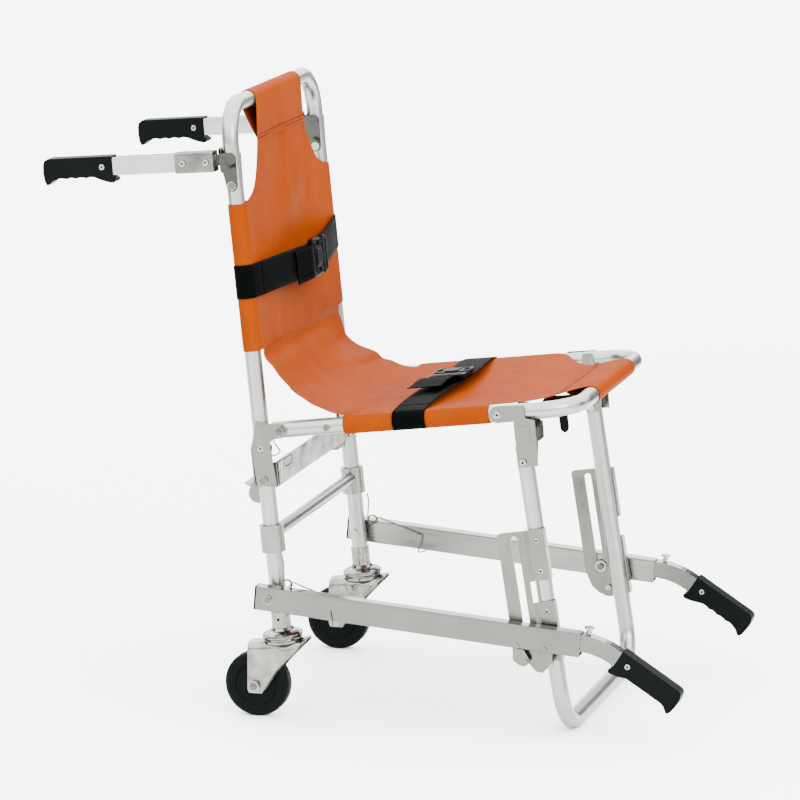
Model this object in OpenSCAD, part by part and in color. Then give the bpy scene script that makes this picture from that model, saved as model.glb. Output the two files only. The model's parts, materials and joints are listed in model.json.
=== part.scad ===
// Folding stair chair: tubular back, hinged seat and leg frame, two carrying
// rails with pull-out front handles, folding rear handles, two swivel casters
// and a fabric sling with two restraint straps.
// The chair faces -Y and +Z is up. Side-view places are given as [s, z]:
// s runs forward from the wheel centre, z is the height above the floor.

/* [Frame] */
// Distance of the tube centres from the middle plane
tube_x = 220; // [200:5:240]
// Outer diameter of the bent frame tubes
tube_d = 25; // [22:1:28]
// Wall thickness of the frame tubes
tube_wall = 1.8; // [1.2:0.2:3]
// Bend radius of the frame tubes at the corners
bend_r = 55; // [45:5:70]
// Height of the top of the back
back_top = 932; // [850:1:960]
// Lean of the back, degrees from vertical
back_lean = 5.95; // [3:0.05:8]

/* [Seat] */
// Rise of the seat tubes towards the front, degrees
seat_rise = 7.06; // [4:0.02:10]
// Length of the seat frame in front of its hinge
seat_len = 450; // [420:1:480]

/* [Leg] */
// Forward rake of the front leg, degrees from vertical
leg_rake = 9.0; // [7:0.1:11]

/* [Rails] */
// Drop of the carrying rails towards the front, degrees
rail_drop = 4.8; // [3:0.1:7]
// Width of the rail section
rail_w = 25; // [24:0.5:26]
// Height of the rail section
rail_h = 36; // [34:1:38]
// Distance of the inner face of the rails from the middle plane
rail_in = 240; // [239.5:0.5:246]

/* [Casters] */
// Wheel diameter
wheel_d = 100; // [90:2:110]
// Wheel width
wheel_w = 28; // [24:1:30]

/* [Sling] */
// Thickness of the sling fabric where it wraps a tube
cloth_t = 1.4; // [1:0.1:1.8]
// Half width of the tabs that wrap the end tubes
tab_half = 115; // [100:5:130]

/* [Hidden] */
$fn = 48;

tube_r = tube_d / 2;
tube_in = tube_r - tube_wall;       // inner radius of the tubes
fit = 0.06;                         // radial clearance of a running fit
gap = 0.3;                          // gap between faces that pass each other
sheet = 2;                          // thickness of the bracket sheet
wall_x = tube_x + tube_r;           // outboard side of the frame tubes
side_in = wall_x + gap;             // inboard face of the outboard sheets
side_mid = side_in + sheet / 2;     // middle of the outboard sheets
inner_mid = tube_x - tube_r - gap - sheet / 2;  // middle of the inboard sheets

// Side-view places, [s, z]
rail_front_end = 478;               // forward of the rail pivot, along the rail
seat_pivot = [39.2, 439.3];
leg_pivot = [411.5, 412];
rail_pivot = [28.8, 188.5];
back_s0 = 51.4;                     // where the upright's axis meets the floor
frame_rear = -325.7;                  // rear end of the rear grips
frame_front = 662.1;                // front end of the front grips
y0 = (frame_rear + frame_front) / 2;    // Y of the wheel centre

// Heights along the upright, measured on its slanting axis
function up(z) = z / cos(back_lean);
// Side-view place on the upright's axis at height z
function on_back(z) = [back_s0 - z * tan(back_lean), z];

socket_low = up(134);
collar_l = [up(253), up(294)];
top_l = up(back_top) - tube_r - tube_r * tan(back_lean);
handle_l = 845.7;                   // middle of the rear handles on the upright
handle_rise = 1.2;                  // rise of the rear handles to the rear
handle_bolt_l = 808.3;
hinge_x = tube_x - 8.5;             // hinge pin of the rear handles
hinge_y = 18.5;
pin_r = 2.5;
knuckle_r = 4.5;
bolt_r = 4;                         // pivot bolts

// ---------------------------------------------------------------- frames

// Mirrors what is built on the left (+X) side over to the right for "right"
module sided(side) {
    mirror([side == "right" ? 1 : 0, 0, 0]) children();
}

module both_sides() {
    for (side = ["right", "left"]) sided(side) children();
}

// Upright's frame: z along the tube, -y to the front
module in_back() {
    translate([0, y0 - back_s0, 0]) rotate([-back_lean, 0, 0]) children();
}

// The same at the rear handles, which rise a little to the rear
module in_handle() {
    in_back() translate([0, hinge_y, handle_l]) rotate([handle_rise, 0, 0])
        translate([0, -hinge_y, -handle_l]) children();
}

// Seat's frame: z forward along the seat tube from its hinge, y up
module in_seat() {
    translate([0, y0 - seat_pivot[0], seat_pivot[1]])
        rotate([90 - seat_rise, 0, 0]) children();
}

// Leg's frame: z down along the leg from its hinge, y to the front
module in_leg() {
    translate([0, y0 - leg_pivot[0], leg_pivot[1]])
        rotate([180 - leg_rake, 0, 0]) children();
}

// Rail's frame: -y forward along the rail from its pivot, z up
module in_rail() {
    translate([0, y0 - rail_pivot[0], rail_pivot[1]])
        rotate([rail_drop, 0, 0]) children();
}

// A flat outline given in [s, z], as sheet of thickness t centred on x
module side_plate(x, t) {
    translate([x + t / 2, y0, 0]) rotate([90, 0, -90]) linear_extrude(t) children();
}

// A flat outline in [y, z] of the present frame, centred on x
module yz_plate(x, t) {
    translate([x - t / 2, 0, 0]) rotate([90, 0, 90]) linear_extrude(t) children();
}

// A round bar along X from x1 to x2 at [y, z] of the present frame
module x_bar(x1, x2, y, z, r) {
    translate([x1, y, z]) rotate([0, 90, 0]) cylinder(h = x2 - x1, r = r);
}

// The same at a side-view place p = [s, z]
module x_rod(x1, x2, p, r) {
    x_bar(x1, x2, y0 - p[0], p[1], r);
}

// A rectangle with rounded corners, from [x, y] to [x + w, y + h]
module round_rect(x, y, w, h, r) {
    translate([x + r, y]) square([w - 2 * r, h]);
    translate([x, y + r]) square([w, h - 2 * r]);
    for (px = [x + r, x + w - r], py = [y + r, y + h - r])
        translate([px, py]) circle(r = r);
}

// A strip with round ends between two places
module slot_2d(a, b, r) {
    d = b - a;
    for (p = [a, b]) translate(p) circle(r = r);
    translate(a) rotate(atan2(d[1], d[0])) translate([0, -r]) square([norm(d), 2 * r]);
}

// A U of round bar: legs at x = +-half_w from z = low to the cross piece at
// z = high, with bent corners
module loop_solid(half_w, low, high, bend, r) {
    for (m = [0, 1]) mirror([m, 0, 0]) {
        translate([half_w, 0, low]) cylinder(h = high - bend - low, r = r);
        translate([half_w - bend, 0, high - bend]) rotate([90, 0, 0])
            rotate_extrude(angle = 90) translate([bend, 0]) circle(r = r);
    }
    translate([bend - half_w, 0, high]) rotate([0, 90, 0])
        cylinder(h = 2 * (half_w - bend), r = r);
}

module loop_tube(low, high) {
    difference() {
        loop_solid(tube_x, low, high, bend_r, tube_r);
        loop_solid(tube_x, low - 1, high, bend_r, tube_in);
    }
}

// A bolt along X: shank from x1 to x2, button head beyond x2, nut before x1
module x_bolt(x1, x2, y, z, r, head_r, head_h) {
    x_bar(x1, x2, y, z, r);
    x_bar(x2, x2 + head_h, y, z, head_r);
    x_bar(x1 - head_h, x1, y, z, head_r);
}

// ---------------------------------------------------------------- back

lock_z = 363;                       // height of the lock bar's bolts
lock_l = up(lock_z);

module back_tube() {
    color("gainsboro") difference() {
        in_back() loop_tube(up(137), top_l);
        // holes for the lock pivot, handle bracket and rail pivot bolts
        both_sides() {
            in_back() for (l = [lock_l, handle_bolt_l])
                x_bar(tube_x - 20, tube_x + 20, 0, l, bolt_r + fit);
            x_rod(tube_x - 20, tube_x + 20, rail_pivot, bolt_r + fit);
        }
    }
}

module collar_solid(r) {
    translate([tube_x, 0, collar_l[0]]) cylinder(h = collar_l[1] - collar_l[0], r = r);
}

cross_r = 9.5;
cross_l = up(278);
collar_r = 18;

module cross_tube() {
    color("gainsboro") in_back() difference() {
        x_bar(-(tube_x - collar_r + 4), tube_x - collar_r + 4, 0, cross_l, cross_r);
        x_bar(-tube_x, tube_x, 0, cross_l, cross_r - 1.5);
    }
}

module tube_collars() {
    color("silver") in_back() both_sides() difference() {
        collar_solid(collar_r);
        translate([tube_x, 0, 0]) cylinder(h = 400, r = tube_r + 0.05);
        x_bar(0, tube_x - collar_r + 4.05, 0, cross_l, cross_r + 0.05);
    }
}

race_l = 125;                       // underside of the caster's dome
stem_r = 6;

module caster_sockets() {
    color("silver") in_back() both_sides() translate([tube_x, 0, 0]) difference() {
        union() {
            translate([0, 0, socket_low]) cylinder(h = up(166) - socket_low, r = 14.6);
            // dome over the bearing
            rotate_extrude() polygon([
                [0, race_l], [30, race_l], [31, race_l + 2], [30.5, race_l + 4.5],
                [28, race_l + 7], [23, race_l + 9], [18, race_l + 10],
                [16, race_l + 14], [0, race_l + 14]]);
            // king pin that carries the fork
            translate([0, 0, race_l - 14]) cylinder(h = 15, r = stem_r);
            translate([0, 0, race_l - 17.5]) cylinder(h = 4, r = 9);
        }
        translate([0, 0, up(136.9)]) cylinder(h = 60, r = tube_r + 0.05);
        translate([-20, 0, up(151)]) rotate([0, 90, 0]) cylinder(h = 40, r = 2);
    }
}

module seat_bracket(side) {
    color("lightgray") sided(side) {
        difference() {
            side_plate(side_mid, sheet) {
                polygon([
                    [2, 452], [28, 449], [40, 450.5], [40, 428.5], [25, 425],
                    [24, 414], [35, 355], [4, 353], [-5, 414]]);
                translate(seat_pivot) circle(r = 11.2);
            }
            x_rod(tube_x, 300, seat_pivot, bolt_r + fit);
            in_back() x_bar(tube_x, 300, 0, lock_l, bolt_r + fit);
        }
        // flange round the back of the upright
        in_back() translate([tube_x - 7, tube_r + gap, up(355)])
            cube([7 + side_in - tube_x + sheet, sheet, up(414) - up(355)]);
    }
}

module seat_hinge_bolts() {
    color("silver") both_sides() {
        x_rod(tube_x - tube_r - 0.5, side_in + sheet + gap, seat_pivot, bolt_r);
        x_rod(side_in + sheet + gap, side_in + sheet + 3.2, seat_pivot, 7.5);
        x_rod(tube_x - tube_r - 5, tube_x - tube_r - 0.5, seat_pivot, 7.5);
    }
}

module lock_pivot_bolts() {
    color("silver") in_back() both_sides()
        x_bolt(inner_mid - sheet / 2 - 0.2, side_in + sheet + 0.1, 0, lock_l, bolt_r, 7, 3);
}

module rail_pivot_bolts() {
    color("silver") both_sides() {
        x_rod(tube_x - tube_r - 0.2, rail_in + rail_w + 0.2, rail_pivot, bolt_r);
        x_rod(tube_x - tube_r - 4.5, tube_x - tube_r - 0.2, rail_pivot, 7.5);
        x_rod(rail_in + rail_w + 0.2, rail_in + rail_w + 2.6, rail_pivot, 6.5);
        // spacer washer between the upright and the rail
        x_rod(wall_x + 0.4, rail_in - gap, rail_pivot, 7.5);
    }
}

module bracket_rivets() {
    color("silver") in_back() both_sides() {
        // on the seat bracket
        x_bar(side_in + sheet, side_in + sheet + 1.4, -1, up(411), 5);
        // on the handle bracket
        x_bolt(inner_mid - sheet / 2, side_in + sheet, 0, handle_bolt_l, bolt_r, 6.5, 2);
    }
}

coil_r = 7.2;
coil_wire_r = 1.5;                  // the coil's turns, drawn a little thicker
wire_r = 1.2;
coil_p = [50.5, 207];

// Torsion spring that lifts the rail: three turns, one arm up to the collar
// and one forward, under the rail and hooked into its outer face
module torsion_spring(side) {
    coil_x = wall_x + 1.6;
    arm_x = rail_in - 1.8;
    out_x = rail_in + rail_w + 1.8;
    color("darkgray") sided(side) {
        translate([coil_x, y0 - coil_p[0], coil_p[1]]) rotate([0, 90, 0]) rotate_extrude()
            for (i = [0:2]) translate([coil_r, 1.9 * i]) circle(r = coil_wire_r, $fn = 24);
        spring_wire([coil_x, coil_p[0] - coil_r, coil_p[1]], [coil_x, 42, 249]);
        spring_wire([arm_x, coil_p[0], coil_p[1] + coil_r], [arm_x, 131.5, 185.8]);
        spring_wire([arm_x, 131.5, 185.8], [arm_x, 123.4, 158]);
        spring_wire([arm_x, 123.4, 158], [out_x, 130, 154]);
        spring_wire([out_x, 130, 154], [out_x, 126, 178]);
    }
}

// A length of the arms between two places [x, s, z], drawn square
module spring_wire(a, b) {
    d = [b[0] - a[0], a[1] - b[1], b[2] - a[2]];
    translate([a[0], y0 - a[1], a[2]])
        rotate([0, acos(d[2] / norm(d)), atan2(d[1], d[0])])
            translate([-wire_r, -wire_r, -wire_r])
                cube([2 * wire_r, 2 * wire_r, norm(d) + 2 * wire_r]);
}

// ------------------------------------------------------- rear handles

module handle_bracket(side) {
    low = handle_l - 15.5;
    high = handle_l + 15.5;
    color("lightgray") sided(side) in_back() {
        difference() {
            union() {
                for (x = [side_mid, inner_mid]) yz_plate(x, sheet) {
                    translate([0, handle_bolt_l]) circle(r = 8.5);
                    polygon([
                        [-8.5, handle_bolt_l], [8.5, handle_bolt_l], [12, low - 2],
                        [tube_r + gap + sheet, low - 1], [tube_r + gap + sheet, high - 4],
                        [-5, high - 4], [-10, high - 9]]);
                }
                // back wall between the two side plates
                translate([inner_mid - sheet / 2, tube_r + gap, low - 1])
                    cube([side_mid - inner_mid + sheet, sheet, high - low - 3]);
            }
            x_bar(tube_x - 30, tube_x + 30, 0, handle_bolt_l, bolt_r + 0.02);
            // room for the handle's knuckle
            translate([hinge_x, hinge_y, low + 7]) cylinder(h = 17, r = knuckle_r + 0.5);
        }
        for (l = [low, high - 7]) translate([hinge_x, hinge_y, l]) difference() {
            union() {
                cylinder(h = 7, r = knuckle_r);
                translate([-4, -4.5, 0]) cube([8, 3, l == low ? 7 : 3]);
            }
            translate([0, 0, -1]) cylinder(h = 9, r = pin_r + 0.01);
        }
    }
}

module handle_hinge_pins() {
    color("silver") in_back() both_sides() translate([hinge_x, hinge_y, 0]) {
        translate([0, 0, handle_l - 16.5]) cylinder(h = 33, r = pin_r);
        for (l = [handle_l - 18, handle_l + 16.5 - 0.9])
            translate([0, 0, l]) cylinder(h = 2.4, r = pin_r + 1);
    }
}

sleeve_w = 26;
sleeve_h = 31;
sleeve_y = [24.5, 84];
bar_w = 22;
bar_h = 27;
handle_x = hinge_x + 0.5 + sleeve_w / 2;    // middle of the handle

module handle_sleeve(side) {
    color("lightgray") sided(side) {
        in_handle() difference() {
            translate([handle_x, sleeve_y[0], handle_l]) rotate([-90, 0, 0])
                linear_extrude(sleeve_y[1] - sleeve_y[0])
                    round_rect(-sleeve_w / 2, -sleeve_h / 2, sleeve_w, sleeve_h, 4);
            translate([handle_x - bar_w / 2 - 0.05, sleeve_y[0] + 2, handle_l - bar_h / 2 - 0.05])
                cube([bar_w + 0.1, 80, bar_h + 0.1]);
        }
        // knuckle and the tongue that joins it to the sleeve
        in_back() translate([hinge_x, hinge_y, handle_l - 8.2]) difference() {
            union() {
                cylinder(h = 16.4, r = knuckle_r);
                translate([0.5, 0, 0]) cube([4, 7.5, 16.4]);
            }
            translate([0, 0, -1]) cylinder(h = 19, r = pin_r + fit);
        }
        in_handle() for (y = [36, 72])
            x_bar(handle_x + sleeve_w / 2, handle_x + sleeve_w / 2 + 1.5, y, handle_l, 5);
    }
}

grip_y = [175, 291];                // rear grips, behind the upright's axis
grip_w = 26;
bar_end = 24;                       // how far a bar stops short of its grip's end

module handle_bar(side) {
    color("gainsboro") sided(side) in_handle() translate([handle_x, sleeve_y[0] + 2, handle_l])
        rotate([-90, 0, 0]) difference() {
            linear_extrude(grip_y[1] - bar_end - sleeve_y[0])
                round_rect(-bar_w / 2, -bar_h / 2, bar_w, bar_h, 2.5);
            translate([0, 0, -1]) linear_extrude(400)
                round_rect(-bar_w / 2 + 1.8, -bar_h / 2 + 1.8, bar_w - 3.6, bar_h - 3.6, 1);
        }
}

// Side outline of a grip: u runs from its mouth to its end, v is up from the
// middle of the bar. finger_grooves of 0 gives the plain one.
module grip_outline(finger_grooves) {
    difference() {
        union() {
            polygon([
                [0, 16], [100, 16], [105.5, 13], [108, 6], [108.5, -6], [107, -18],
                [104, -23.5], [101, -23], [94, -17.5], [88, -15.6], [26, -15.6],
                [16, -20], [8, -22.6], [2, -23.8], [-0.8, -23.6], [-2.9, -22.2], [-3.4, -20],
                [-2.6, -17.9], [-0.8, -16.9], [0, -16.8]]);
        }
        if (finger_grooves > 0) for (i = [0:finger_grooves - 1])
            translate([34 + i * 15.5, -34]) circle(r = 20);
    }
}

// A grip round a bar of size w x h, mouth at the origin, reaching along +y
module grip(finger_grooves, w, h, long) {
    difference() {
        rotate([90, 0, 90]) translate([0, 0, -grip_w / 2]) linear_extrude(grip_w)
            grip_outline(finger_grooves);
        translate([-w / 2 - 0.05, -1, -h / 2 - 0.05]) cube([w + 0.1, long + 1, h + 0.1]);
    }
}

module handle_grip(side) {
    color("darkslategray") sided(side) in_handle() translate([handle_x, grip_y[0] + 7, handle_l])
        grip(4, bar_w, bar_h, grip_y[1] - grip_y[0] - bar_end - 4.9);
}

// ---------------------------------------------------------------- seat

module seat_tube() {
    color("gainsboro") in_seat() difference() {
        loop_tube(-14, seat_len);
        both_sides() x_bar(tube_x - 20, tube_x + 20, 0, 0, bolt_r + fit);
    }
}

module leg_hinge(side) {
    color("lightgray") sided(side) {
        difference() {
            union() {
                side_plate(side_mid, sheet) {
                    polygon([
                        [372, 493.5], [412, 497.5], [414, 478], [428, 476], [434, 408],
                        [404, 403.5], [396, 472], [373, 468.6]]);
                    translate([372, 481]) circle(r = 12.5);
                }
                side_plate(inner_mid, sheet)
                    polygon([
                        [396, 495.5], [412, 497.5], [416, 478], [434, 470], [436, 446],
                        [427, 438], [427, 407.5], [404, 403.5], [396, 472]]);
                // bridge above the leg's head
                side_plate(tube_x, 2 * (side_mid - tube_x))
                    polygon([[424, 462], [426.2, 462], [429.3, 440], [427.1, 440]]);
            }
            x_rod(tube_x - 20, tube_x + 20, leg_pivot, bolt_r + fit);
        }
        // raised pad on the outer plate
        side_plate(side_mid + 1.6, 1.2)
            polygon([[400, 464], [420, 467], [424, 437], [421, 434], [407, 432], [404, 435]]);
    }
}

module leg_hinge_bolts() {
    color("silver") both_sides() {
        x_rod(inner_mid - sheet / 2 - 0.3, side_in + sheet + 0.3, leg_pivot, bolt_r);
        x_rod(side_in + sheet + 0.3, side_in + sheet + 2.5, leg_pivot, 5.5);
        x_rod(inner_mid - sheet / 2 - 3, inner_mid - sheet / 2 - 0.3, leg_pivot, 5.5);
    }
}

module seat_rivets() {
    color("silver") in_seat() both_sides() {
        x_bar(wall_x + 0.05, wall_x + 1, 0, 72.3, 2.5);
        x_bar(wall_x + 0.9, wall_x + 2.4, 0, 72.3, 5.5);
        x_bar(side_in + sheet, side_in + sheet + 1.4, 0, 335.2, 5.5);
    }
}

module seat_bumpers() {
    color("black") both_sides() translate([tube_x, y0 - 424, 465.5]) cylinder(h = 8, r = 6);
}

// ---------------------------------------------------------------- leg

foot_l = (leg_pivot[1] - tube_r) / cos(leg_rake);   // down to the foot bar's middle
leg_head = 22;                      // leg above its hinge

module leg_tube() {
    color("gainsboro") in_leg() difference() {
        loop_tube(-leg_head, foot_l);
        both_sides() x_bar(tube_x - 20, tube_x + 20, 0, 0, bolt_r + fit);
    }
}

slot_y = -30.4;                     // slot behind the leg's axis
slot_l = [113, 256.5];              // slot, from the leg hinge down
slot_r = 5.2;
slot_x = rail_in - 1.3 - sheet / 2;     // slotted sheet, close inside the rail
bolt2 = [-23.3, 290.9];

module slot_plate(side) {
    color("lightgray") sided(side) in_leg() {
        difference() {
            yz_plate(slot_x, sheet) {
                polygon([
                    [-50, 101], [-16, 101], [-16, 300], [-38, 300], [-50, 286], [-56, 264],
                    [-56, 107]]);
                translate([-50, 107]) circle(r = 6);
                translate(bolt2) circle(r = 15);
            }
            yz_plate(slot_x, 3 * sheet) slot_2d([slot_y, slot_l[0]], [slot_y, slot_l[1]], slot_r);
        }
        // step in to the tube and the parts that wrap it
        for (l = [[101, 178], [210, 300]]) translate([0, 0, l[0]]) linear_extrude(l[1] - l[0]) {
            polygon([
                [slot_x - sheet / 2, -17], [slot_x + sheet / 2, -17], [slot_x + sheet / 2, -15],
                [side_in + sheet, -9], [side_in + sheet, tube_r + gap + sheet],
                [tube_x, tube_r + gap + sheet], [tube_x, tube_r + gap],
                [side_in, tube_r + gap], [side_in, -9.6], [slot_x - sheet / 2, -15.6]]);
        }
    }
}

module slot_bolts() {
    color("silver") in_leg() both_sides() {
        // big washer and bolt at the foot of the slot, clear of the rail
        x_bar(slot_x - sheet / 2 - 1.6, slot_x - sheet / 2, slot_y, slot_l[1], 9);
        x_bar(slot_x - sheet / 2 - 6, slot_x - sheet / 2 - 1.6, slot_y, slot_l[1], 5);
        x_bar(slot_x - sheet / 2 - 4.5, slot_x - sheet / 2, bolt2[0], bolt2[1], 4.5);
        // rivets that hold the wraps to the tube
        for (l = [118, 164, 225]) x_bar(side_in + sheet, side_in + sheet + 1.4, 2, l, 4.2);
    }
}

// ---------------------------------------------------------------- rails

rail_wall = 1.8;
front_w = rail_w - 2 * rail_wall - 0.2;     // pull-out bar in the upper chamber
front_h = 25;
front_z = rail_h / 2 - rail_wall - 0.1 - front_h / 2;   // its middle, in the rail's frame
rail_x = rail_in + rail_w / 2;

module rail(side) {
    long = rail_front_end + rail_back_len;
    color("gainsboro") sided(side) in_rail() difference() {
        translate([rail_x, rail_back_len, 0]) rotate([90, 0, 0]) linear_extrude(long)
            difference() {
                round_rect(-rail_w / 2, -rail_h / 2, rail_w, rail_h, 2.5);
                translate([-front_w / 2 - 0.1, front_z - front_h / 2 - 0.1])
                    square([front_w + 0.2, front_h + 0.2]);
                translate([-front_w / 2 - 0.1, -rail_h / 2 + rail_wall])
                    square([front_w + 0.2, rail_h - 4 * rail_wall - front_h - 0.2 + rail_wall]);
            }
        x_bar(0, 400, 0, 0, bolt_r + fit);
    }
}
rail_back_len = 19;                 // rail behind its pivot

module rail_cap(side) {
    color("black") sided(side) in_rail()
        translate([rail_x, rail_back_len + 2.6, 0]) rotate([90, 0, 0]) linear_extrude(2.6)
            round_rect(-rail_w / 2, -rail_h / 2, rail_w, rail_h, 2.5);
}

// Sheet lugs under the front of the rail, with their rivets and cross bolt
module latch_plate(side) {
    color("silver") sided(side) in_rail() {
        low = -rail_h / 2;
        yz_plate(rail_in + rail_w - 1, sheet) {
            polygon([
                [-378, low], [-395, low], [-405, low - 14], [-405, low - 19],
                [-399, low - 25], [-391, low - 25], [-380, low - 18]]);
        }
        yz_plate(rail_in + rail_w - 12, sheet) {
            polygon([
                [-386, low], [-436, low], [-437, low - 14], [-431, low - 26],
                [-424, low - 34], [-414, low - 33], [-402, low - 22]]);
        }
        x_bar(rail_in + rail_w - 15, rail_in + rail_w + 2.5, -400, low - 18, 4);
        for (y = [-384, -426]) x_bar(rail_in + rail_w, rail_in + rail_w + 1.8, y, low + 4.5, 4);
    }
}

bend_angle = 28.2;                  // bend of the pull-out bar down to its grip
front_bend = 112;                   // radius of the bend
bar_reach = 300;                    // straight length of the bar inside the rail
bar_tip = 94;                       // straight length in the grip, from the bend
bar_wall = 1.7;

// The left front handle stands a little further out than the right one
left_out = 4.5;
function front_y(side) = -rail_front_end - (side == "left" ? left_out : 0);

// Places [y, z] along the pull-out bar, at a height off above its middle line,
// longer by more at both ends
function bar_line(off, more) = let (r = front_bend + off) concat(
    [[bar_reach + more, off]],
    [for (i = [0:8]) let (a = bend_angle * i / 8) [-r * sin(a), r * cos(a) - front_bend]],
    [[-r * sin(bend_angle) - (bar_tip + more) * cos(bend_angle),
        r * cos(bend_angle) - front_bend - (bar_tip + more) * sin(bend_angle)]]);

// The bar's bent outline from the side, w thick along X
module bent_bar(w, h, more) {
    below = bar_line(-h / 2, more);
    yz_plate(0, w) polygon(concat(bar_line(h / 2, more),
        [for (i = [len(below) - 1:-1:0]) below[i]]));
}

module front_bar(side) {
    color("gainsboro") sided(side) in_rail() translate([rail_x, front_y(side), front_z])
        difference() {
            bent_bar(front_w, front_h, 0);
            bent_bar(front_w - 2 * bar_wall, front_h - 2 * bar_wall, 1);
            // hole for the knob's stem
            translate([0, -knob_f, 0]) cylinder(h = 30, r = knob_r + fit);
        }
}

// Frame at the end of the bend, +y towards the tip of the grip, from the
// bar's middle at the rail's front end
module in_front_grip() {
    translate([0, -front_bend * sin(bend_angle), -front_bend * (1 - cos(bend_angle))])
        rotate([bend_angle, 0, 0]) translate([0, -12, 0]) rotate([0, 0, 180]) children();
}

module front_grip(side) {
    color("darkslategray") sided(side) in_rail() translate([rail_x, front_y(side), front_z])
        in_front_grip() translate([0, -6, 0])
            grip(side == "right" ? 0 : 4, front_w, front_h, 90);
}

knob_f = 10;                        // spring knob ahead of the rail's end
knob_r = 3.4;

module knob(side) {
    color("silver") sided(side) in_rail()
        translate([rail_x, front_y(side) - knob_f, front_z + front_h / 2]) {
            translate([0, 0, -8]) cylinder(h = 17, r = knob_r);
            translate([0, 0, 9]) cylinder(h = 2.6, r = 7.5);
            translate([0, 0, 3]) cylinder(h = 1.5, r = 4.6);
        }
}

// ---------------------------------------------------------------- lock bar

module lock_bar() {
    p = on_back(lock_z);
    color("lightgray") difference() {
        union() {
            // cross plate in front of the uprights' axis
            side_plate(0, 2 * (inner_mid + sheet / 2))
                polygon([[23, 386], [25, 386], [28.8, 349], [26.8, 349]]);
            // ears on the pivot bolts, with a lobe below and a tab to the rear
            both_sides() side_plate(inner_mid, sheet) {
                polygon([
                    [22, 386], [25, 386], [28.8, 349], [20, 346], [9, 330], [-12, 326],
                    [-17, 336], [-14, 350], [2, 372], [14, 380]]);
                translate([-3, 337]) circle(r = 15);
            }
            // rear tread that is pressed to let the seat fold
            side_plate(0, 2 * (inner_mid + sheet / 2))
                polygon([[-25, 351], [-13, 345.5], [-12.2, 347.3], [-24.2, 352.8]]);
        }
        x_rod(-300, 300, p, bolt_r + fit);
    }
}

// ---------------------------------------------------------------- casters

fork_x = wheel_w / 2 + 2.5 + 1.25;  // middle of a fork cheek from the wheel's middle
fork_t = 2.5;
axle_p = [0, wheel_d / 2];

module fork(side) {
    color("silver") sided(side) {
        in_back() translate([tube_x, 0, 0]) difference() {
            union() {
                // lower race
                translate([0, 0, race_l - 4.3]) cylinder(h = 4, r = 27);
                translate([0, 0, race_l - 7.3]) cylinder(h = 3.05, r = 29);
                // crown plate
                translate([-fork_x - fork_t / 2, -39, race_l - 10.3])
                    cube([2 * fork_x + fork_t, 88, 3.05]);
            }
            translate([0, 0, race_l - 20]) cylinder(h = 20, r = stem_r + fit);
        }
        difference() {
            for (x = [tube_x - fork_x, tube_x + fork_x]) side_plate(x, fork_t) {
                polygon([
                    [-9, 120], [-11, 43], [-8.7, 38], [12.5, 38], [18, 44.6], [35, 72],
                    [49, 88], [77.5, 117.8], [78, 128]]);
                translate([axle_p[0], axle_p[1]]) circle(r = 12);
            }
            // trimmed level with the crown plate
            in_back() translate([tube_x - 40, -90, race_l - 7.35]) cube([80, 200, 40]);
            x_rod(0, 400, axle_p, bolt_r + 0.02);
        }
    }
}

module axle(side) {
    x1 = tube_x - fork_x - fork_t / 2;
    x2 = tube_x + fork_x + fork_t / 2;
    color("silver") sided(side) {
        x_rod(x1 - 0.1, x2 + 0.1, axle_p, bolt_r);
        x_rod(x2 + 0.1, x2 + 9, axle_p, 8);
        x_rod(x1 - 6, x1 - 0.1, axle_p, 7.5);
    }
}

module wheel(side) {
    r = wheel_d / 2;
    w = wheel_w / 2;
    color("black") sided(side) translate([tube_x, y0 - axle_p[0], axle_p[1]]) rotate([0, 90, 0])
        rotate_extrude($fn = 96) difference() {
            polygon([
                [bolt_r + fit, -w - 1.5], [12, -w - 1.5], [14, -w + 2], [31, -w + 2], [33, -w],
                [r - 6, -w], [r - 2, -w + 2.5], [r, -w + 7], [r, w - 7], [r - 2, w - 2.5],
                [r - 6, w], [33, w], [31, w - 2], [14, w - 2], [12, w + 1.5],
                [bolt_r + fit, w + 1.5]]);
        }
}

// ---------------------------------------------------------------- sling

sleeve_r = tube_r + 0.3 + cloth_t;
panel_t = 3;
panel_y = -13.9;                    // front face of the panels, in front of the tubes
back_sleeve = [up(556), up(776)];
seat_sleeve = [97, 322];            // along the seat tube from its hinge

// Panel outline in x and along the frame: full width between the sleeves,
// curving in to a tab that reaches the end tube
module sling_outline(low, high, end) {
    notch = end - high;
    difference() {
        translate([-tube_x, low]) square([2 * tube_x, end - low]);
        for (m = [-1, 1]) translate([m * tube_x, end])
            polygon([for (a = [0:10:90])
                [-m * (tube_x - tab_half) * cos(a), -notch * sin(a)], [0, 30],
                [-m * (tube_x - tab_half), 30]]);
    }
}

// Sleeves on the two side tubes, panel between them and wrap on the end tube
module sling_part(low, high, end) {
    difference() {
        union() {
            translate([0, panel_y + panel_t, 0]) rotate([90, 0, 0]) linear_extrude(panel_t)
                sling_outline(low, high, end);
            for (m = [-1, 1]) translate([m * tube_x, 0, low]) cylinder(h = high - low, r = sleeve_r);
            x_bar(-tab_half, tab_half, 0, end, sleeve_r);
        }
        for (m = [-1, 1]) translate([m * tube_x, 0, low - 1])
            cylinder(h = end - low - 20, r = tube_r + 0.3);
        x_bar(-tube_x, tube_x, 0, end, tube_r + 0.3);
    }
}

module sling_back() {
    color("darkorange") in_back() sling_part(back_sleeve[0], back_sleeve[1], top_l);
}

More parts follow.
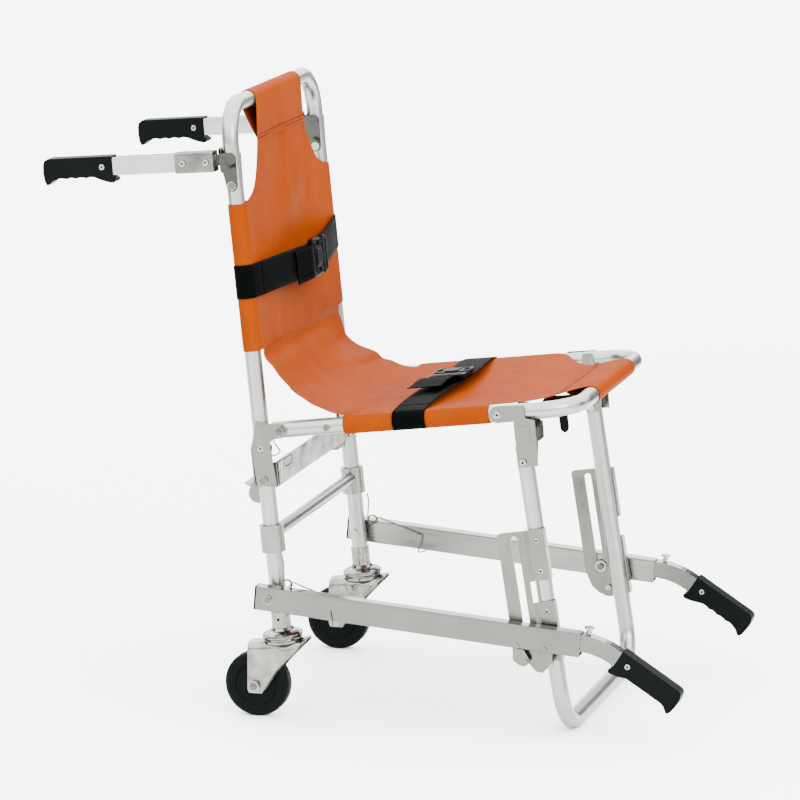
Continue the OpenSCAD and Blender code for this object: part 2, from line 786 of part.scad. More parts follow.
// Seat part of the sling with the slack curve that rises to the back
module sling_seat() {
    color("darkorange") {
        in_seat() mirror([0, 1, 0]) sling_part(seat_sleeve[0], seat_sleeve[1], seat_len);
        slack = [for (i = [0:8]) let (t = i / 8)
            [14 + 127 * t, 548 - 85 * sin(90 * t) - 1.5 * sin(180 * t)]];
        side_plate(0, 2 * (tube_x - tube_r - 6))
            polygon(concat(slack, [for (i = [8:-1:0]) slack[i] + [2.2, 2.6]]));
    }
}

strap_w = 50;
strap_t = 1.6;

// Webbing loop round both side tubes and across the front of the sling
module strap_loop(l) {
    r = sleeve_r + 0.4;
    difference() {
        union() {
            for (m = [-1, 1]) translate([m * tube_x, 0, l - strap_w / 2])
                cylinder(h = strap_w, r = r + strap_t);
            translate([-tube_x, -r - strap_t, l - strap_w / 2])
                cube([2 * tube_x, strap_t, strap_w]);
        }
        for (m = [-1, 1]) translate([m * tube_x, 0, l - strap_w])
            cylinder(h = 2 * strap_w, r = r);
        // the loops stay open to the back of the panel
        for (m = [-1, 1]) translate([m * tube_x - (m > 0 ? 30 : 0), 0.1 - r, l - strap_w])
            cube([30, 50, 2 * strap_w]);
    }
}

module buckle_block(x, l, y) {
    translate([x - 27, y, l - 24]) cube([54, 9, 48]);
}

back_strap_l = up(667);
seat_strap_l = 206;
strap_face = sleeve_r + 0.4 + strap_t;

module back_strap() {
    color("black") in_back() strap_loop(back_strap_l);
}

module back_buckle() {
    color("black") in_back() buckle_block(105, back_strap_l, -strap_face - 9);
}

module seat_strap() {
    color("black") in_seat() mirror([0, 1, 0]) strap_loop(seat_strap_l);
}

module seat_buckle() {
    color("black") in_seat() buckle_block(-15, seat_strap_l, strap_face);
}

// Rubber tongue that hangs below the seat's front corner
module pull_tongue() {
    color("black") in_seat() translate([-178, -20, 420]) rotate([seat_rise, 0, 0]) {
        translate([-2, -16, -6]) cube([4, 28, 12]);
        translate([-2, -16, 0]) rotate([0, 90, 0]) cylinder(h = 4, r = 6);
    }
}

// ---------------------------------------------------------------- nodes

back_tube();
cross_tube();
tube_collars();
caster_sockets();
seat_bracket("right");  // right_seat_bracket
seat_bracket("left");  // left_seat_bracket
seat_hinge_bolts();
handle_bracket("right");  // right_handle_bracket
handle_bracket("left");  // left_handle_bracket
handle_hinge_pins();
rail_pivot_bolts();
torsion_spring("right");  // right_torsion_spring
torsion_spring("left");  // left_torsion_spring
bracket_rivets();
lock_pivot_bolts();
sling_back();
back_strap();
back_buckle();
seat_tube();
leg_hinge("right");  // right_leg_hinge
leg_hinge("left");  // left_leg_hinge
leg_hinge_bolts();
seat_rivets();
seat_bumpers();
sling_seat();
seat_strap();
seat_buckle();
pull_tongue();
leg_tube();
slot_plate("right");  // right_slot_plate
slot_plate("left");  // left_slot_plate
slot_bolts();
rail("right");  // right_rail
rail_cap("right");  // right_rail_cap
latch_plate("right");  // right_latch_plate
rail("left");  // left_rail
rail_cap("left");  // left_rail_cap
latch_plate("left");  // left_latch_plate
front_bar("right");  // right_front_bar
front_grip("right");  // right_front_grip
knob("right");  // right_knob
front_bar("left");  // left_front_bar
front_grip("left");  // left_front_grip
knob("left");  // left_knob
handle_sleeve("right");  // right_handle_sleeve
handle_bar("right");  // right_handle_bar
handle_grip("right");  // right_handle_grip
handle_sleeve("left");  // left_handle_sleeve
handle_bar("left");  // left_handle_bar
handle_grip("left");  // left_handle_grip
lock_bar();
fork("right");  // right_fork
axle("right");  // right_axle
wheel("right");  // right_wheel
fork("left");  // left_fork
axle("left");  // left_axle
wheel("left");  // left_wheel
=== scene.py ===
import json
import math

import bpy
from mathutils import Matrix, Vector, noise


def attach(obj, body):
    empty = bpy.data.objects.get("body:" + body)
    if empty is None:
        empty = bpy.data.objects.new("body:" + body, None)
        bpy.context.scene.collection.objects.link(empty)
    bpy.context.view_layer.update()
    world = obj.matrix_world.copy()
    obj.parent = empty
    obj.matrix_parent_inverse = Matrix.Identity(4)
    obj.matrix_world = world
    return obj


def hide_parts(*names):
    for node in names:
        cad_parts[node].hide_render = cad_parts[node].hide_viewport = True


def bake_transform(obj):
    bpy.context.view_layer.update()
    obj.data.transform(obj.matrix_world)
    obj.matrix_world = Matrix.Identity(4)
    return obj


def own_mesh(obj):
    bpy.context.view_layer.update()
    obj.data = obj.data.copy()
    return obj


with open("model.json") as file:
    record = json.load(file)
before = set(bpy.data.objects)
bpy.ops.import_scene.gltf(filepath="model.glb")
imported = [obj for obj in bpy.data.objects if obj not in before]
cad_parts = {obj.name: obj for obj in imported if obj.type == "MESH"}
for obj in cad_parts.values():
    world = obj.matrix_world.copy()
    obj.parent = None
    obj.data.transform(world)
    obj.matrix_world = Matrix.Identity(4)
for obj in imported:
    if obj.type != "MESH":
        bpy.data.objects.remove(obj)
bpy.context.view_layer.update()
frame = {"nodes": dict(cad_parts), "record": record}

# ---------------------------------------------------------------- frames (mm inside, metres outside)

Y0 = 168.2                              # world Y of the side view's s = 0, which is the caster axle
X_TUBE = 220.0                          # middle of the frame tubes
TUBE_R = 12.5
SEAT_HINGE = (39.2, 439.3)              # (s, z) in the side view
LEG_HINGE = (411.5, 412)
RAIL_PIVOT = (28.8, 188.5)
SIDES = ((-1, "right"), (1, "left"))    # the sign of x on each side of the seated person
MM = Matrix.Scale(0.001, 4)


def frame_at(s, z, turn):
    """A sub-frame's matrix: its origin at side-view place (s, z), turned about X, in mm."""
    return MM @ Matrix.Translation((0, Y0 - s, z)) @ Matrix.Rotation(math.radians(turn), 4, "X")


WORLD = MM.copy()
BACK = frame_at(51.4, 0, -5.95)         # z up along the upright, -y forward
SEAT = frame_at(*SEAT_HINGE, 90 - 7.06)  # z forward along the seat tube, y up
LEG = frame_at(*LEG_HINGE, 180 - 9)     # z down along the leg, y forward
RAIL = frame_at(*RAIL_PIVOT, 4.8)       # -y forward along the rail, z up


def side(s, z, x=0.0):
    """A side-view place (s, z) at x as a WORLD-frame point in mm."""
    return Vector((x, Y0 - s, z))


# ---------------------------------------------------------------- node helpers

def material(name, colour, rough, metallic=0.0, **sockets):
    m = bpy.data.materials.new(name)
    m.use_nodes = True
    b = m.node_tree.nodes["Principled BSDF"]
    b.inputs["Base Color"].default_value = (*colour, 1)
    b.inputs["Roughness"].default_value = rough
    b.inputs["Metallic"].default_value = metallic
    for k, v in sockets.items():
        b.inputs[k.replace("_", " ")].default_value = v
    return m


def link(m, a, out, b, inp):
    m.node_tree.links.new(a.outputs[out], b.inputs[inp])


def node(m, kind, **values):
    n = m.node_tree.nodes.new(kind)
    for k, v in values.items():
        if hasattr(n, k):
            setattr(n, k, v)
        else:
            n.inputs[k.replace("_", " ")].default_value = v
    return n


def coords(m, scale=(1, 1, 1), which="Object"):
    tc = node(m, "ShaderNodeTexCoord")
    mp = node(m, "ShaderNodeMapping", Scale=scale)
    link(m, tc, which, mp, "Vector")
    return mp


def noise_of(m, at, scale, detail=4, rough=0.5):
    n = node(m, "ShaderNodeTexNoise", Scale=scale, Detail=detail, Roughness=rough)
    link(m, at, 0, n, "Vector")
    return n


def ramp(m, src, stops, out=0):
    r = node(m, "ShaderNodeValToRGB")
    e = r.color_ramp.elements
    while len(e) < len(stops):
        e.new(0.5)
    for i, (p, c) in enumerate(stops):
        e[i].position = p
        e[i].color = (*c, 1) if len(c) == 3 else c
    link(m, src, out, r, "Fac")
    return r


def principled(m):
    return m.node_tree.nodes["Principled BSDF"]


def bump(m, src, out, strength, distance, chain=None):
    b = node(m, "ShaderNodeBump", Strength=strength, Distance=distance)
    link(m, src, out, b, "Height")
    if chain is not None:
        link(m, chain, "Normal", b, "Normal")
    link(m, b, "Normal", principled(m), "Normal")
    return b


def grey(v):
    return (v, v, v)


def metal(name, colour, rough, streak, streak_scale=160, spread=0.08, shade=0.12, bump_by=0.02, wave=0.0,
          wave_scale=14, patch=22):
    """Metal with fine streaks: streak is the mapping scale, low along the grain. shade and patch are the
    depth and scale of its duller patches, wave and wave_scale those of its unevenness."""
    m = material(name, colour, rough, 1.0)
    at = coords(m, streak)
    fine = noise_of(m, at, streak_scale, 5, 0.6)
    broad = noise_of(m, coords(m), patch, 3, 0.5)
    r = ramp(m, fine, [(0.3, grey(max(rough - spread, 0.02))), (0.7, grey(rough + spread))])
    c = ramp(m, broad, [(0.3, tuple(x * (1 - shade) for x in colour)), (0.7, colour)])
    link(m, r, "Color", principled(m), "Roughness")
    link(m, c, "Color", principled(m), "Base Color")
    first = bump(m, noise_of(m, coords(m), wave_scale, 2, 0.5), "Fac", wave, 0.006) if wave else None
    bump(m, fine, "Fac", bump_by, 0.0004, first)
    return m


TUBE = metal("tube_satin", (0.26, 0.265, 0.252), 0.31, (1, 1, 0.06), 160, 0.04, 0.10, 0.006)
TUBE_X = metal("tube_satin_cross", (0.24, 0.245, 0.232), 0.31, (0.06, 1, 1), 160, 0.04, 0.10, 0.006)
RAIL_M = metal("rail_satin", (0.100, 0.103, 0.094), 0.2, (1, 0.05, 1))
# the left rail's lighter copy of the rail metal: its lighter base colour is painted light on the far rail's
# inner face
RAIL_PAINTED_LIGHT = metal("rail_satin_left_painted_light", (0.165, 0.168, 0.155), 0.26, (1, 0.05, 1))
TUBE_FLAT = metal("bar_satin", (0.27, 0.275, 0.262), 0.2, (1, 0.05, 1))
SHEET = metal("sheet_satin", (0.105, 0.108, 0.094), 0.24, (1, 1, 0.1), wave=0.3, wave_scale=18)
SLEEVE = metal("sleeve_satin", (0.14, 0.143, 0.130), 0.2, (1, 0.05, 1), shade=0.6, wave=0.6, wave_scale=24,
               patch=26)
SHEET_BAR = metal("sheet_bar", (0.115, 0.118, 0.103), 0.2, (0.05, 1, 1), shade=0.7, wave=0.8, wave_scale=9,
                  patch=9)
# a much darker copy of the sheet steel for the handle brackets, the lock bar's doublers and the forks'
# edges: its base colour is painted dark reflection and shade
SHEET_PAINTED_DARK = metal("sheet_painted_dark", (0.034, 0.036, 0.032), 0.14, (1, 1, 0.1), wave=0.6, wave_scale=30)
BOLT = metal("bolt_bright", (0.22, 0.22, 0.205), 0.14, (1, 1, 1), 300, 0.06, 0.2)
NUT = metal("nut_plated", (0.085, 0.083, 0.072), 0.2, (1, 1, 1), 300, 0.06, 0.3)
ZINC = metal("zinc_cast", (0.19, 0.192, 0.178), 0.19, (1, 1, 1), 120, 0.05, 0.5, 0.04, 0.5, 34, 55)
SPRING = metal("spring_wire", (0.09, 0.085, 0.072), 0.22, (1, 1, 1), 400)
CAST = metal("collar_cast", (0.15, 0.15, 0.138), 0.25, (1, 1, 1), 220, 0.06, 0.08, 0.05)


def plastic(name, colour, rough, grain=900, by=0.12):
    m = material(name, colour, rough)
    n = noise_of(m, coords(m), grain, 3, 0.6)
    r = ramp(m, n, [(0.35, grey(rough - 0.06)), (0.65, grey(rough + 0.08))])
    link(m, r, "Color", principled(m), "Roughness")
    wear = noise_of(m, coords(m), 35, 4, 0.6)
    c = ramp(m, wear, [(0.4, colour), (0.75, tuple(x * 1.4 for x in colour))])
    link(m, c, "Color", principled(m), "Base Color")
    bump(m, n, "Fac", by, 0.0004)
    principled(m).inputs["Specular IOR Level"].default_value = 0.03
    return m


GRIP = plastic("grip_plastic", (0.0006, 0.0014, 0.0011), 0.42)
BLACK = plastic("black_plastic", (0.0009, 0.0014, 0.0013), 0.4)
BUCKLE = plastic("buckle_plastic", (0.0012, 0.0016, 0.0016), 0.33, 500)
RUBBER = plastic("wheel_rubber", (0.0006, 0.0015, 0.0012), 0.5, 700, 0.2)


# ---------------------------------------------------------------- mesh helpers

def piece(name, verts, faces, mat, smooth=True, uv=None):
    """A mesh object from points already in the row frame, in metres."""
    me = bpy.data.meshes.new(name)
    me.from_pydata([tuple(v) for v in verts], [], faces)
    if uv:
        layer = me.uv_layers.new(name="flat")
        for loop in me.loops:
            layer.data[loop.index].uv = uv[loop.vertex_index]
    for p in me.polygons:
        p.use_smooth = smooth
    me.materials.append(mat)
    me.update()
    o = bpy.data.objects.new(name, me)
    bpy.context.scene.collection.objects.link(o)
    return o


def quads(rows, cols):
    """Faces of a grid of points: rows of cols points each."""
    return [(i * cols + k, i * cols + k + 1, (i + 1) * cols + k + 1, (i + 1) * cols + k)
            for i in range(rows - 1) for k in range(cols - 1)]


def merged(name, parts, mat, smooth=True):
    """One piece from several (verts, faces)."""
    vs, fs = [], []
    for v, f in parts:
        k = len(vs)
        vs += list(v)
        fs += [tuple(i + k for i in q) for q in f]
    return piece(name, vs, fs, mat, smooth)


def lathe(m, profile, n=28):
    """(verts, faces): profile [(r, h)] turned about the z axis of matrix m, open ends closed."""
    vs, fs = [], []
    for r, h in profile:
        for i in range(n):
            a = 2 * math.pi * i / n
            vs.append(m @ Vector((r * math.cos(a), r * math.sin(a), h)))
    for j in range(len(profile) - 1):
        for i in range(n):
            a, b = j * n + i, j * n + (i + 1) % n
            fs.append((a, b, b + n, a + n))
    fs.append(tuple(range(n - 1, -1, -1)))
    fs.append(tuple(range((len(profile) - 1) * n, len(profile) * n)))
    return vs, fs


def ring(m, profile, n=40):
    """A lathe whose profile closes on itself, with no end discs."""
    vs, fs = lathe(m, profile + profile[:1], n)
    return vs, fs[:-2]


def raised(m, z):
    """Frame m moved along its own z."""
    return m @ Matrix.Translation((0, 0, z))


def x_axis(m, x, y, z, sign=1):
    """Matrix at (x, y, z) of frame m whose z axis points along sign * X."""
    return m @ Matrix.Translation((x, y, z)) @ Matrix.Rotation(math.radians(90 * sign), 4, "Y")


def axis_at(place, x, sign):
    """Such a matrix at x on the hinge line through a side-view place."""
    return x_axis(WORLD, x, Y0 - place[0], place[1], sign)


def sweep(points, r, n=10):
    """(verts, faces): a round wire of radius r (m) along world points."""
    vs, fs = [], []
    pts = [Vector(p) for p in points]
    prev = Vector((0.3, 0.5, 0.8)).normalized()
    for i, p in enumerate(pts):
        t = (pts[min(i + 1, len(pts) - 1)] - pts[max(i - 1, 0)]).normalized()
        a = (prev - t * prev.dot(t)).normalized()
        prev = a
        b = t.cross(a)
        for k in range(n):
            c = 2 * math.pi * k / n
            vs.append(p + (a * math.cos(c) + b * math.sin(c)) * r)
    for j in range(len(pts) - 1):
        for k in range(n):
            q, w = j * n + k, j * n + (k + 1) % n
            fs.append((q, w, w + n, q + n))
    fs.append(tuple(range(n - 1, -1, -1)))
    fs.append(tuple(range((len(pts) - 1) * n, len(pts) * n)))
    return vs, fs


def spline(pts, per):
    """Catmull-Rom points through pts, per steps a span."""
    pts = [Vector(p) for p in pts]
    ext = [pts[0] * 2 - pts[1]] + pts + [pts[-1] * 2 - pts[-2]]
    out = []
    for i in range(1, len(ext) - 2):
        a, b, c, d = ext[i - 1:i + 3]
        for k in range(per):
            t = k / per
            out.append(0.5 * ((2 * b) + (c - a) * t + (2 * a - 5 * b + 4 * c - d) * t * t
                              + (3 * b - a - 3 * c + d) * t ** 3))
    out.append(pts[-1])
    return out


def soften(o, width=0.0006, segments=2, angle=35):
    b = o.modifiers.new("edges", "BEVEL")
    b.width, b.segments, b.limit_method, b.angle_limit = width, segments, "ANGLE", math.radians(angle)
    b.harden_normals = False
    return o


def thicken(o, mm, offset=0):
    k = o.modifiers.new("thickness", "SOLIDIFY")
    k.thickness, k.offset = mm / 1000, offset
    return k


def belongs(o, slot, body, *replaced):
    """Puts piece o on its body and hides the nodes that it replaces; its slot is not used."""
    if replaced:
        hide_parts(*replaced)
    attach(o, body)
    return o


def smooth_step(a, b, x):
    t = min(max((x - a) / (b - a), 0), 1)
    return t * t * (3 - 2 * t)


def table_at(rows, x):
    """Linear reading of [(x, value)] in rising x."""
    if x <= rows[0][0]:
        return rows[0][1]
    for (a, va), (b, vb) in zip(rows, rows[1:]):
        if x <= b:
            return va + (vb - va) * (x - a) / (b - a)
    return rows[-1][1]


# ---------------------------------------------------------------- sling

CLOTH = 1.2
WRAP_R = TUBE_R + 0.35 + CLOTH / 2      # middle of the fabric round a tube
TOP_L = 923.25                          # crossbar of the back, along the upright
FRONT_L = 450.0                         # crossbar of the seat, along the seat tube
BACK_SLEEVE = (559.0, 780.2)
SEAT_SLEEVE = (97.0, 322.0)
BACK_SEAMS = (868.0, 861.5)
SEAT_SEAMS = (407.0, 413.5)


def back_yz(y, l):
    v = BACK @ Vector((0, y, l))
    return v.y * 1000, v.z * 1000


def seat_yz(y, l):
    v = SEAT @ Vector((0, y, l))
    return v.y * 1000, v.z * 1000


# half width of the back part against l, and of the seat part against l
BACK_W = [(559, 220), (780.2, 220), (782, 208), (785, 193), (790, 177), (796, 166), (808, 154),
          (827, 139), (842, 130), (861, 123), (880, 120), (910, 118), (950, 118)]
NEAR_W = [(97, 220), (322, 220), (345, 217), (375, 207), (395, 186), (411, 160), (422, 141),
          (432, 127), (442, 120), (452, 118), (480, 118)]
FAR_W = [(97, 220), (322, 220), (334, 212), (345, 192), (358, 160), (370, 134), (384, 115),
         (400, 104), (414, 105), (430, 113), (446, 118), (480, 118)]
SLACK_W = 203.0
TAB_W = 118.0                           # where it wraps the two crossbars


def sling_rows():
    """Rows down the sling as (Y, Z, half width, zone); zones with sleeves are 'back' and 'seat'."""
    rows = []
    for i in range(9):                                  # hem behind the top crossbar
        t = i / 8
        y = -WRAP_R + 1.6 + (2 * WRAP_R - 1.6) * t ** 0.85
        rows.append((*back_yz(y, 859 + (TOP_L - 862) * t), TAB_W, "hem"))
    for i in range(1, 14):                              # over the crossbar
        a = math.pi * i / 14
        rows.append((*back_yz(WRAP_R * math.cos(a), TOP_L + WRAP_R * math.sin(a)), TAB_W, "hem"))
    l = TOP_L
    while l > BACK_SLEEVE[1]:
        rows.append((*back_yz(-WRAP_R, l), table_at(BACK_W, l), "tab"))
        l -= 2.2 if l < 800 else 5.5
    n = 42
    for i in range(n + 1):
        l = BACK_SLEEVE[1] + (BACK_SLEEVE[0] - BACK_SLEEVE[1]) * i / n
        rows.append((*back_yz(-WRAP_R, l), X_TUBE, "back"))
    start = Vector(back_yz(-WRAP_R, BACK_SLEEVE[0] - 0.4)).to_3d()
    end = Vector(seat_yz(WRAP_R, SEAT_SLEEVE[0] - 0.4)).to_3d()
    a1 = Vector(back_yz(-WRAP_R, BACK_SLEEVE[0] - 14)).to_3d()
    mid = [Vector((Y0 - s, z, 0)) for s, z in ((22, 528), (39, 507), (62, 487), (92, 471.5), (118, 464))]
    for i, p in enumerate(spline([start, a1] + mid + [end], 7)):
        rows.append((p.x, p.y, SLACK_W, "slack"))
    n = 42
    for i in range(n + 1):
        l = SEAT_SLEEVE[0] + (SEAT_SLEEVE[1] - SEAT_SLEEVE[0]) * i / n
        rows.append((*seat_yz(WRAP_R, l), X_TUBE, "seat"))
    l = SEAT_SLEEVE[1] + 3
    while l < FRONT_L:
        rows.append((*seat_yz(WRAP_R, l), (table_at(NEAR_W, l), table_at(FAR_W, l)), "lap"))
        l += 4.0
    for i in range(14):                                 # round the front crossbar
        a = math.pi * i / 13
        rows.append((*seat_yz(WRAP_R * math.cos(a), FRONT_L + WRAP_R * math.sin(a)), TAB_W, "lap_hem"))
    for i in range(1, 9):
        t = i / 8
        y = -WRAP_R + (2 * WRAP_R - 1.6) * t ** 1.2
        rows.append((*seat_yz(y, FRONT_L - (FRONT_L - 405) * t), TAB_W, "lap_hem"))
    return rows


ROWS = sling_rows()
PATH = [0.0]
for a, b in zip(ROWS, ROWS[1:]):
    PATH.append(PATH[-1] + math.hypot(a[0] - b[0], a[1] - b[1]))


def path_at(zones, frame_m, l):
    """Length down the sling (mm) where the row of those zones is at l along frame_m."""
    best = None
    for i, (Y, Z, _, zone) in enumerate(ROWS):
        if zone in zones:
            d = abs((frame_m.inverted() @ Vector((0, Y / 1000, Z / 1000))).z - l)
            if best is None or d < best[0]:
                best = (d, PATH[i])
    return best[1]


SEAM_AT = [path_at(("tab",), BACK, l) / 1000 for l in BACK_SEAMS]
SEAM_AT += [path_at(("lap",), SEAT, l) / 1000 for l in SEAT_SEAMS]


# ---------------------------------------------------------------- soft materials

def webbing_material():
    """Black webbing: ribs along it and picks across it."""
    m = material("strap_webbing", (0.002, 0.003, 0.0028), 0.62)
    principled(m).inputs["Specular IOR Level"].default_value = 0.010
    at = coords(m, which="UV")
    ribs = node(m, "ShaderNodeTexWave", bands_direction="X", Scale=95, Distortion=0.6, Detail=2)
    picks = node(m, "ShaderNodeTexWave", bands_direction="Y", Scale=160, Distortion=0.8)
    for w in (ribs, picks):
        link(m, at, "Vector", w, "Vector")
    both = node(m, "ShaderNodeMath", operation="MULTIPLY")
    link(m, ribs, "Fac", both, 0)
    link(m, picks, "Fac", both, 1)
    c = ramp(m, both, [(0.1, (0.0002, 0.0004, 0.0004)), (0.9, (0.0007, 0.0012, 0.0010))])
    link(m, c, "Color", principled(m), "Base Color")
    bump(m, both, 0, 0.4, 0.0005)
    return m


WEB = webbing_material()


def vinyl_material(seams):
    """Coated fabric: fine weave under the coating, slight mottling, seams pressed in at those lengths (m)
    down the sling, their grooves darkened with painted shade."""
    m = material("sling_vinyl", ORANGE, 0.42)
    principled(m).inputs["Specular IOR Level"].default_value = 0.006
    uv = coords(m, which="UV")
    weave = node(m, "ShaderNodeTexWave", bands_direction="X", Scale=260, Distortion=0.8)
    weft = node(m, "ShaderNodeTexWave", bands_direction="Y", Scale=260, Distortion=0.8)
    for w in (weave, weft):
        link(m, uv, "Vector", w, "Vector")
    cloth = node(m, "ShaderNodeMath", operation="ADD")
    link(m, weave, "Fac", cloth, 0)
    link(m, weft, "Fac", cloth, 1)
    mottle = noise_of(m, coords(m), 9, 5, 0.55)
    grime = noise_of(m, coords(m), 60, 4, 0.6)
    dull, bright = (tuple(v * k for v in ORANGE) for k in (0.90, 1.06))
    base = ramp(m, mottle, [(0.35, dull), (0.65, bright)])
    # each seam is a narrow band about its length down the sling
    split = node(m, "ShaderNodeSeparateXYZ")
    link(m, uv, "Vector", split, "Vector")
    groove = None
    for at in seams:
        d = node(m, "ShaderNodeMath", operation="SUBTRACT")
        link(m, split, "Y", d, 0)
        d.inputs[1].default_value = at
        a = node(m, "ShaderNodeMath", operation="ABSOLUTE")
        link(m, d, "Value", a, 0)
        r = node(m, "ShaderNodeMapRange", From_Min=0.0004, From_Max=0.0018)
        link(m, a, "Value", r, "Value")
        if groove is None:
            groove = r
        else:
            k = node(m, "ShaderNodeMath", operation="MULTIPLY")
            link(m, groove, 0, k, 0)
            link(m, r, 0, k, 1)
            groove = k
    # the base colour is multiplied down to 0.42 in each seam groove: painted shade in the grooves
    dark = node(m, "ShaderNodeMix", data_type="RGBA", blend_type="MULTIPLY", Factor=1.0)
    shade = node(m, "ShaderNodeMapRange", To_Min=0.42)
    link(m, groove, 0, shade, "Value")
    link(m, base, "Color", dark, 6)
    link(m, shade, "Result", dark, 7)
    link(m, dark, 2, principled(m), "Base Color")
    rough = ramp(m, grime, [(0.3, grey(0.44)), (0.7, grey(0.52))])
    link(m, rough, "Color", principled(m), "Roughness")
    a = bump(m, cloth, 0, 0.10, 0.0003)
    b = bump(m, groove, 0, 0.8, 0.0012, a)
    soft = noise_of(m, coords(m), 26, 3, 0.5)
    bump(m, soft, "Fac", 0.10, 0.006, b)
    return m


ORANGE = (0.128, 0.0185, 0.0)
VINYL = vinyl_material(SEAM_AT)

SLOT_MATERIAL = {
    "tube_aluminium": TUBE, "rail_aluminium": RAIL_M, "bracket_steel": SHEET,
    "fastener_steel": BOLT, "spring_steel": SPRING, "caster_zinc": ZINC,
    "wheel_rubber": RUBBER, "grip_plastic": GRIP, "black_plastic": BLACK,
    "buckle_plastic": BUCKLE, "sling_vinyl": VINYL, "strap_webbing": WEB,
    "tongue_rubber": BLACK,
}

NODE_MATERIAL = {
    "left_rail": RAIL_PAINTED_LIGHT, "cross_tube": TUBE_X, "tube_collars": CAST, "lock_bar": SHEET_BAR,
    "right_handle_bracket": SHEET_PAINTED_DARK, "left_handle_bracket": SHEET_PAINTED_DARK,
    "right_handle_sleeve": SLEEVE, "left_handle_sleeve": SLEEVE,
    "right_handle_bar": TUBE_FLAT, "left_handle_bar": TUBE_FLAT,
}

EDGE = {                                # how far, in how many steps and from what angle edges are rounded
    "bracket_steel": (0.0004, 2, 35), "rail_aluminium": (0.0004, 2, 35), "caster_zinc": (0.0004, 2, 35),
    "fastener_steel": (0.0004, 2, 35), "black_plastic": (0.0004, 2, 35), "grip_plastic": (0.0022, 3, 30),
    "wheel_rubber": (0.0012, 3, 25),
}

for row in frame["record"]["subparts"]:
    o = frame["nodes"][row["node"]]
    slot = row["material_slot"]
    o.data.materials.clear()
    o.data.materials.append(NODE_MATERIAL.get(row["node"], SLOT_MATERIAL[slot]))
    if slot in EDGE:
        soften(o, *EDGE[slot])


# ---------------------------------------------------------------- sling mesh

def sling_offset(zone, x, l, t):
    """How far the fabric stands off its plane (mm, towards the seated person)."""
    u = x / X_TUBE
    if zone in ("hem", "lap_hem"):
        return 0
    lumps = noise.noise(Vector((x / 95, l / 120, 3.1)))
    lumps += noise.noise(Vector((x / 40, l / 55, 8.7))) * 0.3
    inside = max(0, 1 - u * u)
    if zone in ("tab", "back"):
        along = smooth_step(925, 840, l)
        sag = -5.0 * inside * along
        fold = 3.2 * math.exp(-((l - 612 + 0.25 * (x - 60)) / 20) ** 2) * math.exp(-((x - 120) / 80) ** 2)
        fold += 2.6 * math.exp(-((l - 742 - 0.3 * (x + 30)) / 34) ** 2) * math.exp(-((x + 20) / 90) ** 2)
        fold -= 2.4 * math.exp(-((l - 700 + 0.1 * x) / 26) ** 2) * math.exp(-((x - 60) / 90) ** 2)
        return sag + (1.4 * fold + lumps * 2.2) * inside * along
    if zone == "slack":
        far = smooth_step(0.15, 1.0, u)
        hill = math.exp(-((t - 0.30) / 0.17) ** 2)
        body = -6.0 * inside * (1 - 0.3 * t) - 15.0 * far * hill
        ripple = 0.7 * smooth_step(0.45, 1, abs(u)) * math.sin(t * 31 + u * 4) * math.sin(math.pi * t)
        crease = -3.0 * math.exp(-((t - 0.55 - 0.12 * u) / 0.05) ** 2) * smooth_step(0.2, 0.9, u)
        crease += 1.8 * math.exp(-((t - 0.42 - 0.2 * u) / 0.06) ** 2) * smooth_step(0.1, 0.8, u)
        return body + ripple + crease + lumps * 2.2 * min(1, inside + 0.3)
    along = smooth_step(447, 380, l)
    sag = -6.5 * inside * along
    fold = 2.0 * math.exp(-((l - 330 - 0.3 * x) / 26) ** 2) * math.exp(-((x - 60) / 110) ** 2)
    fold -= 2.2 * math.exp(-((l - 262 - 0.12 * x) / 24) ** 2)
    return sag + (1.4 * fold + lumps * 2.0) * inside * along


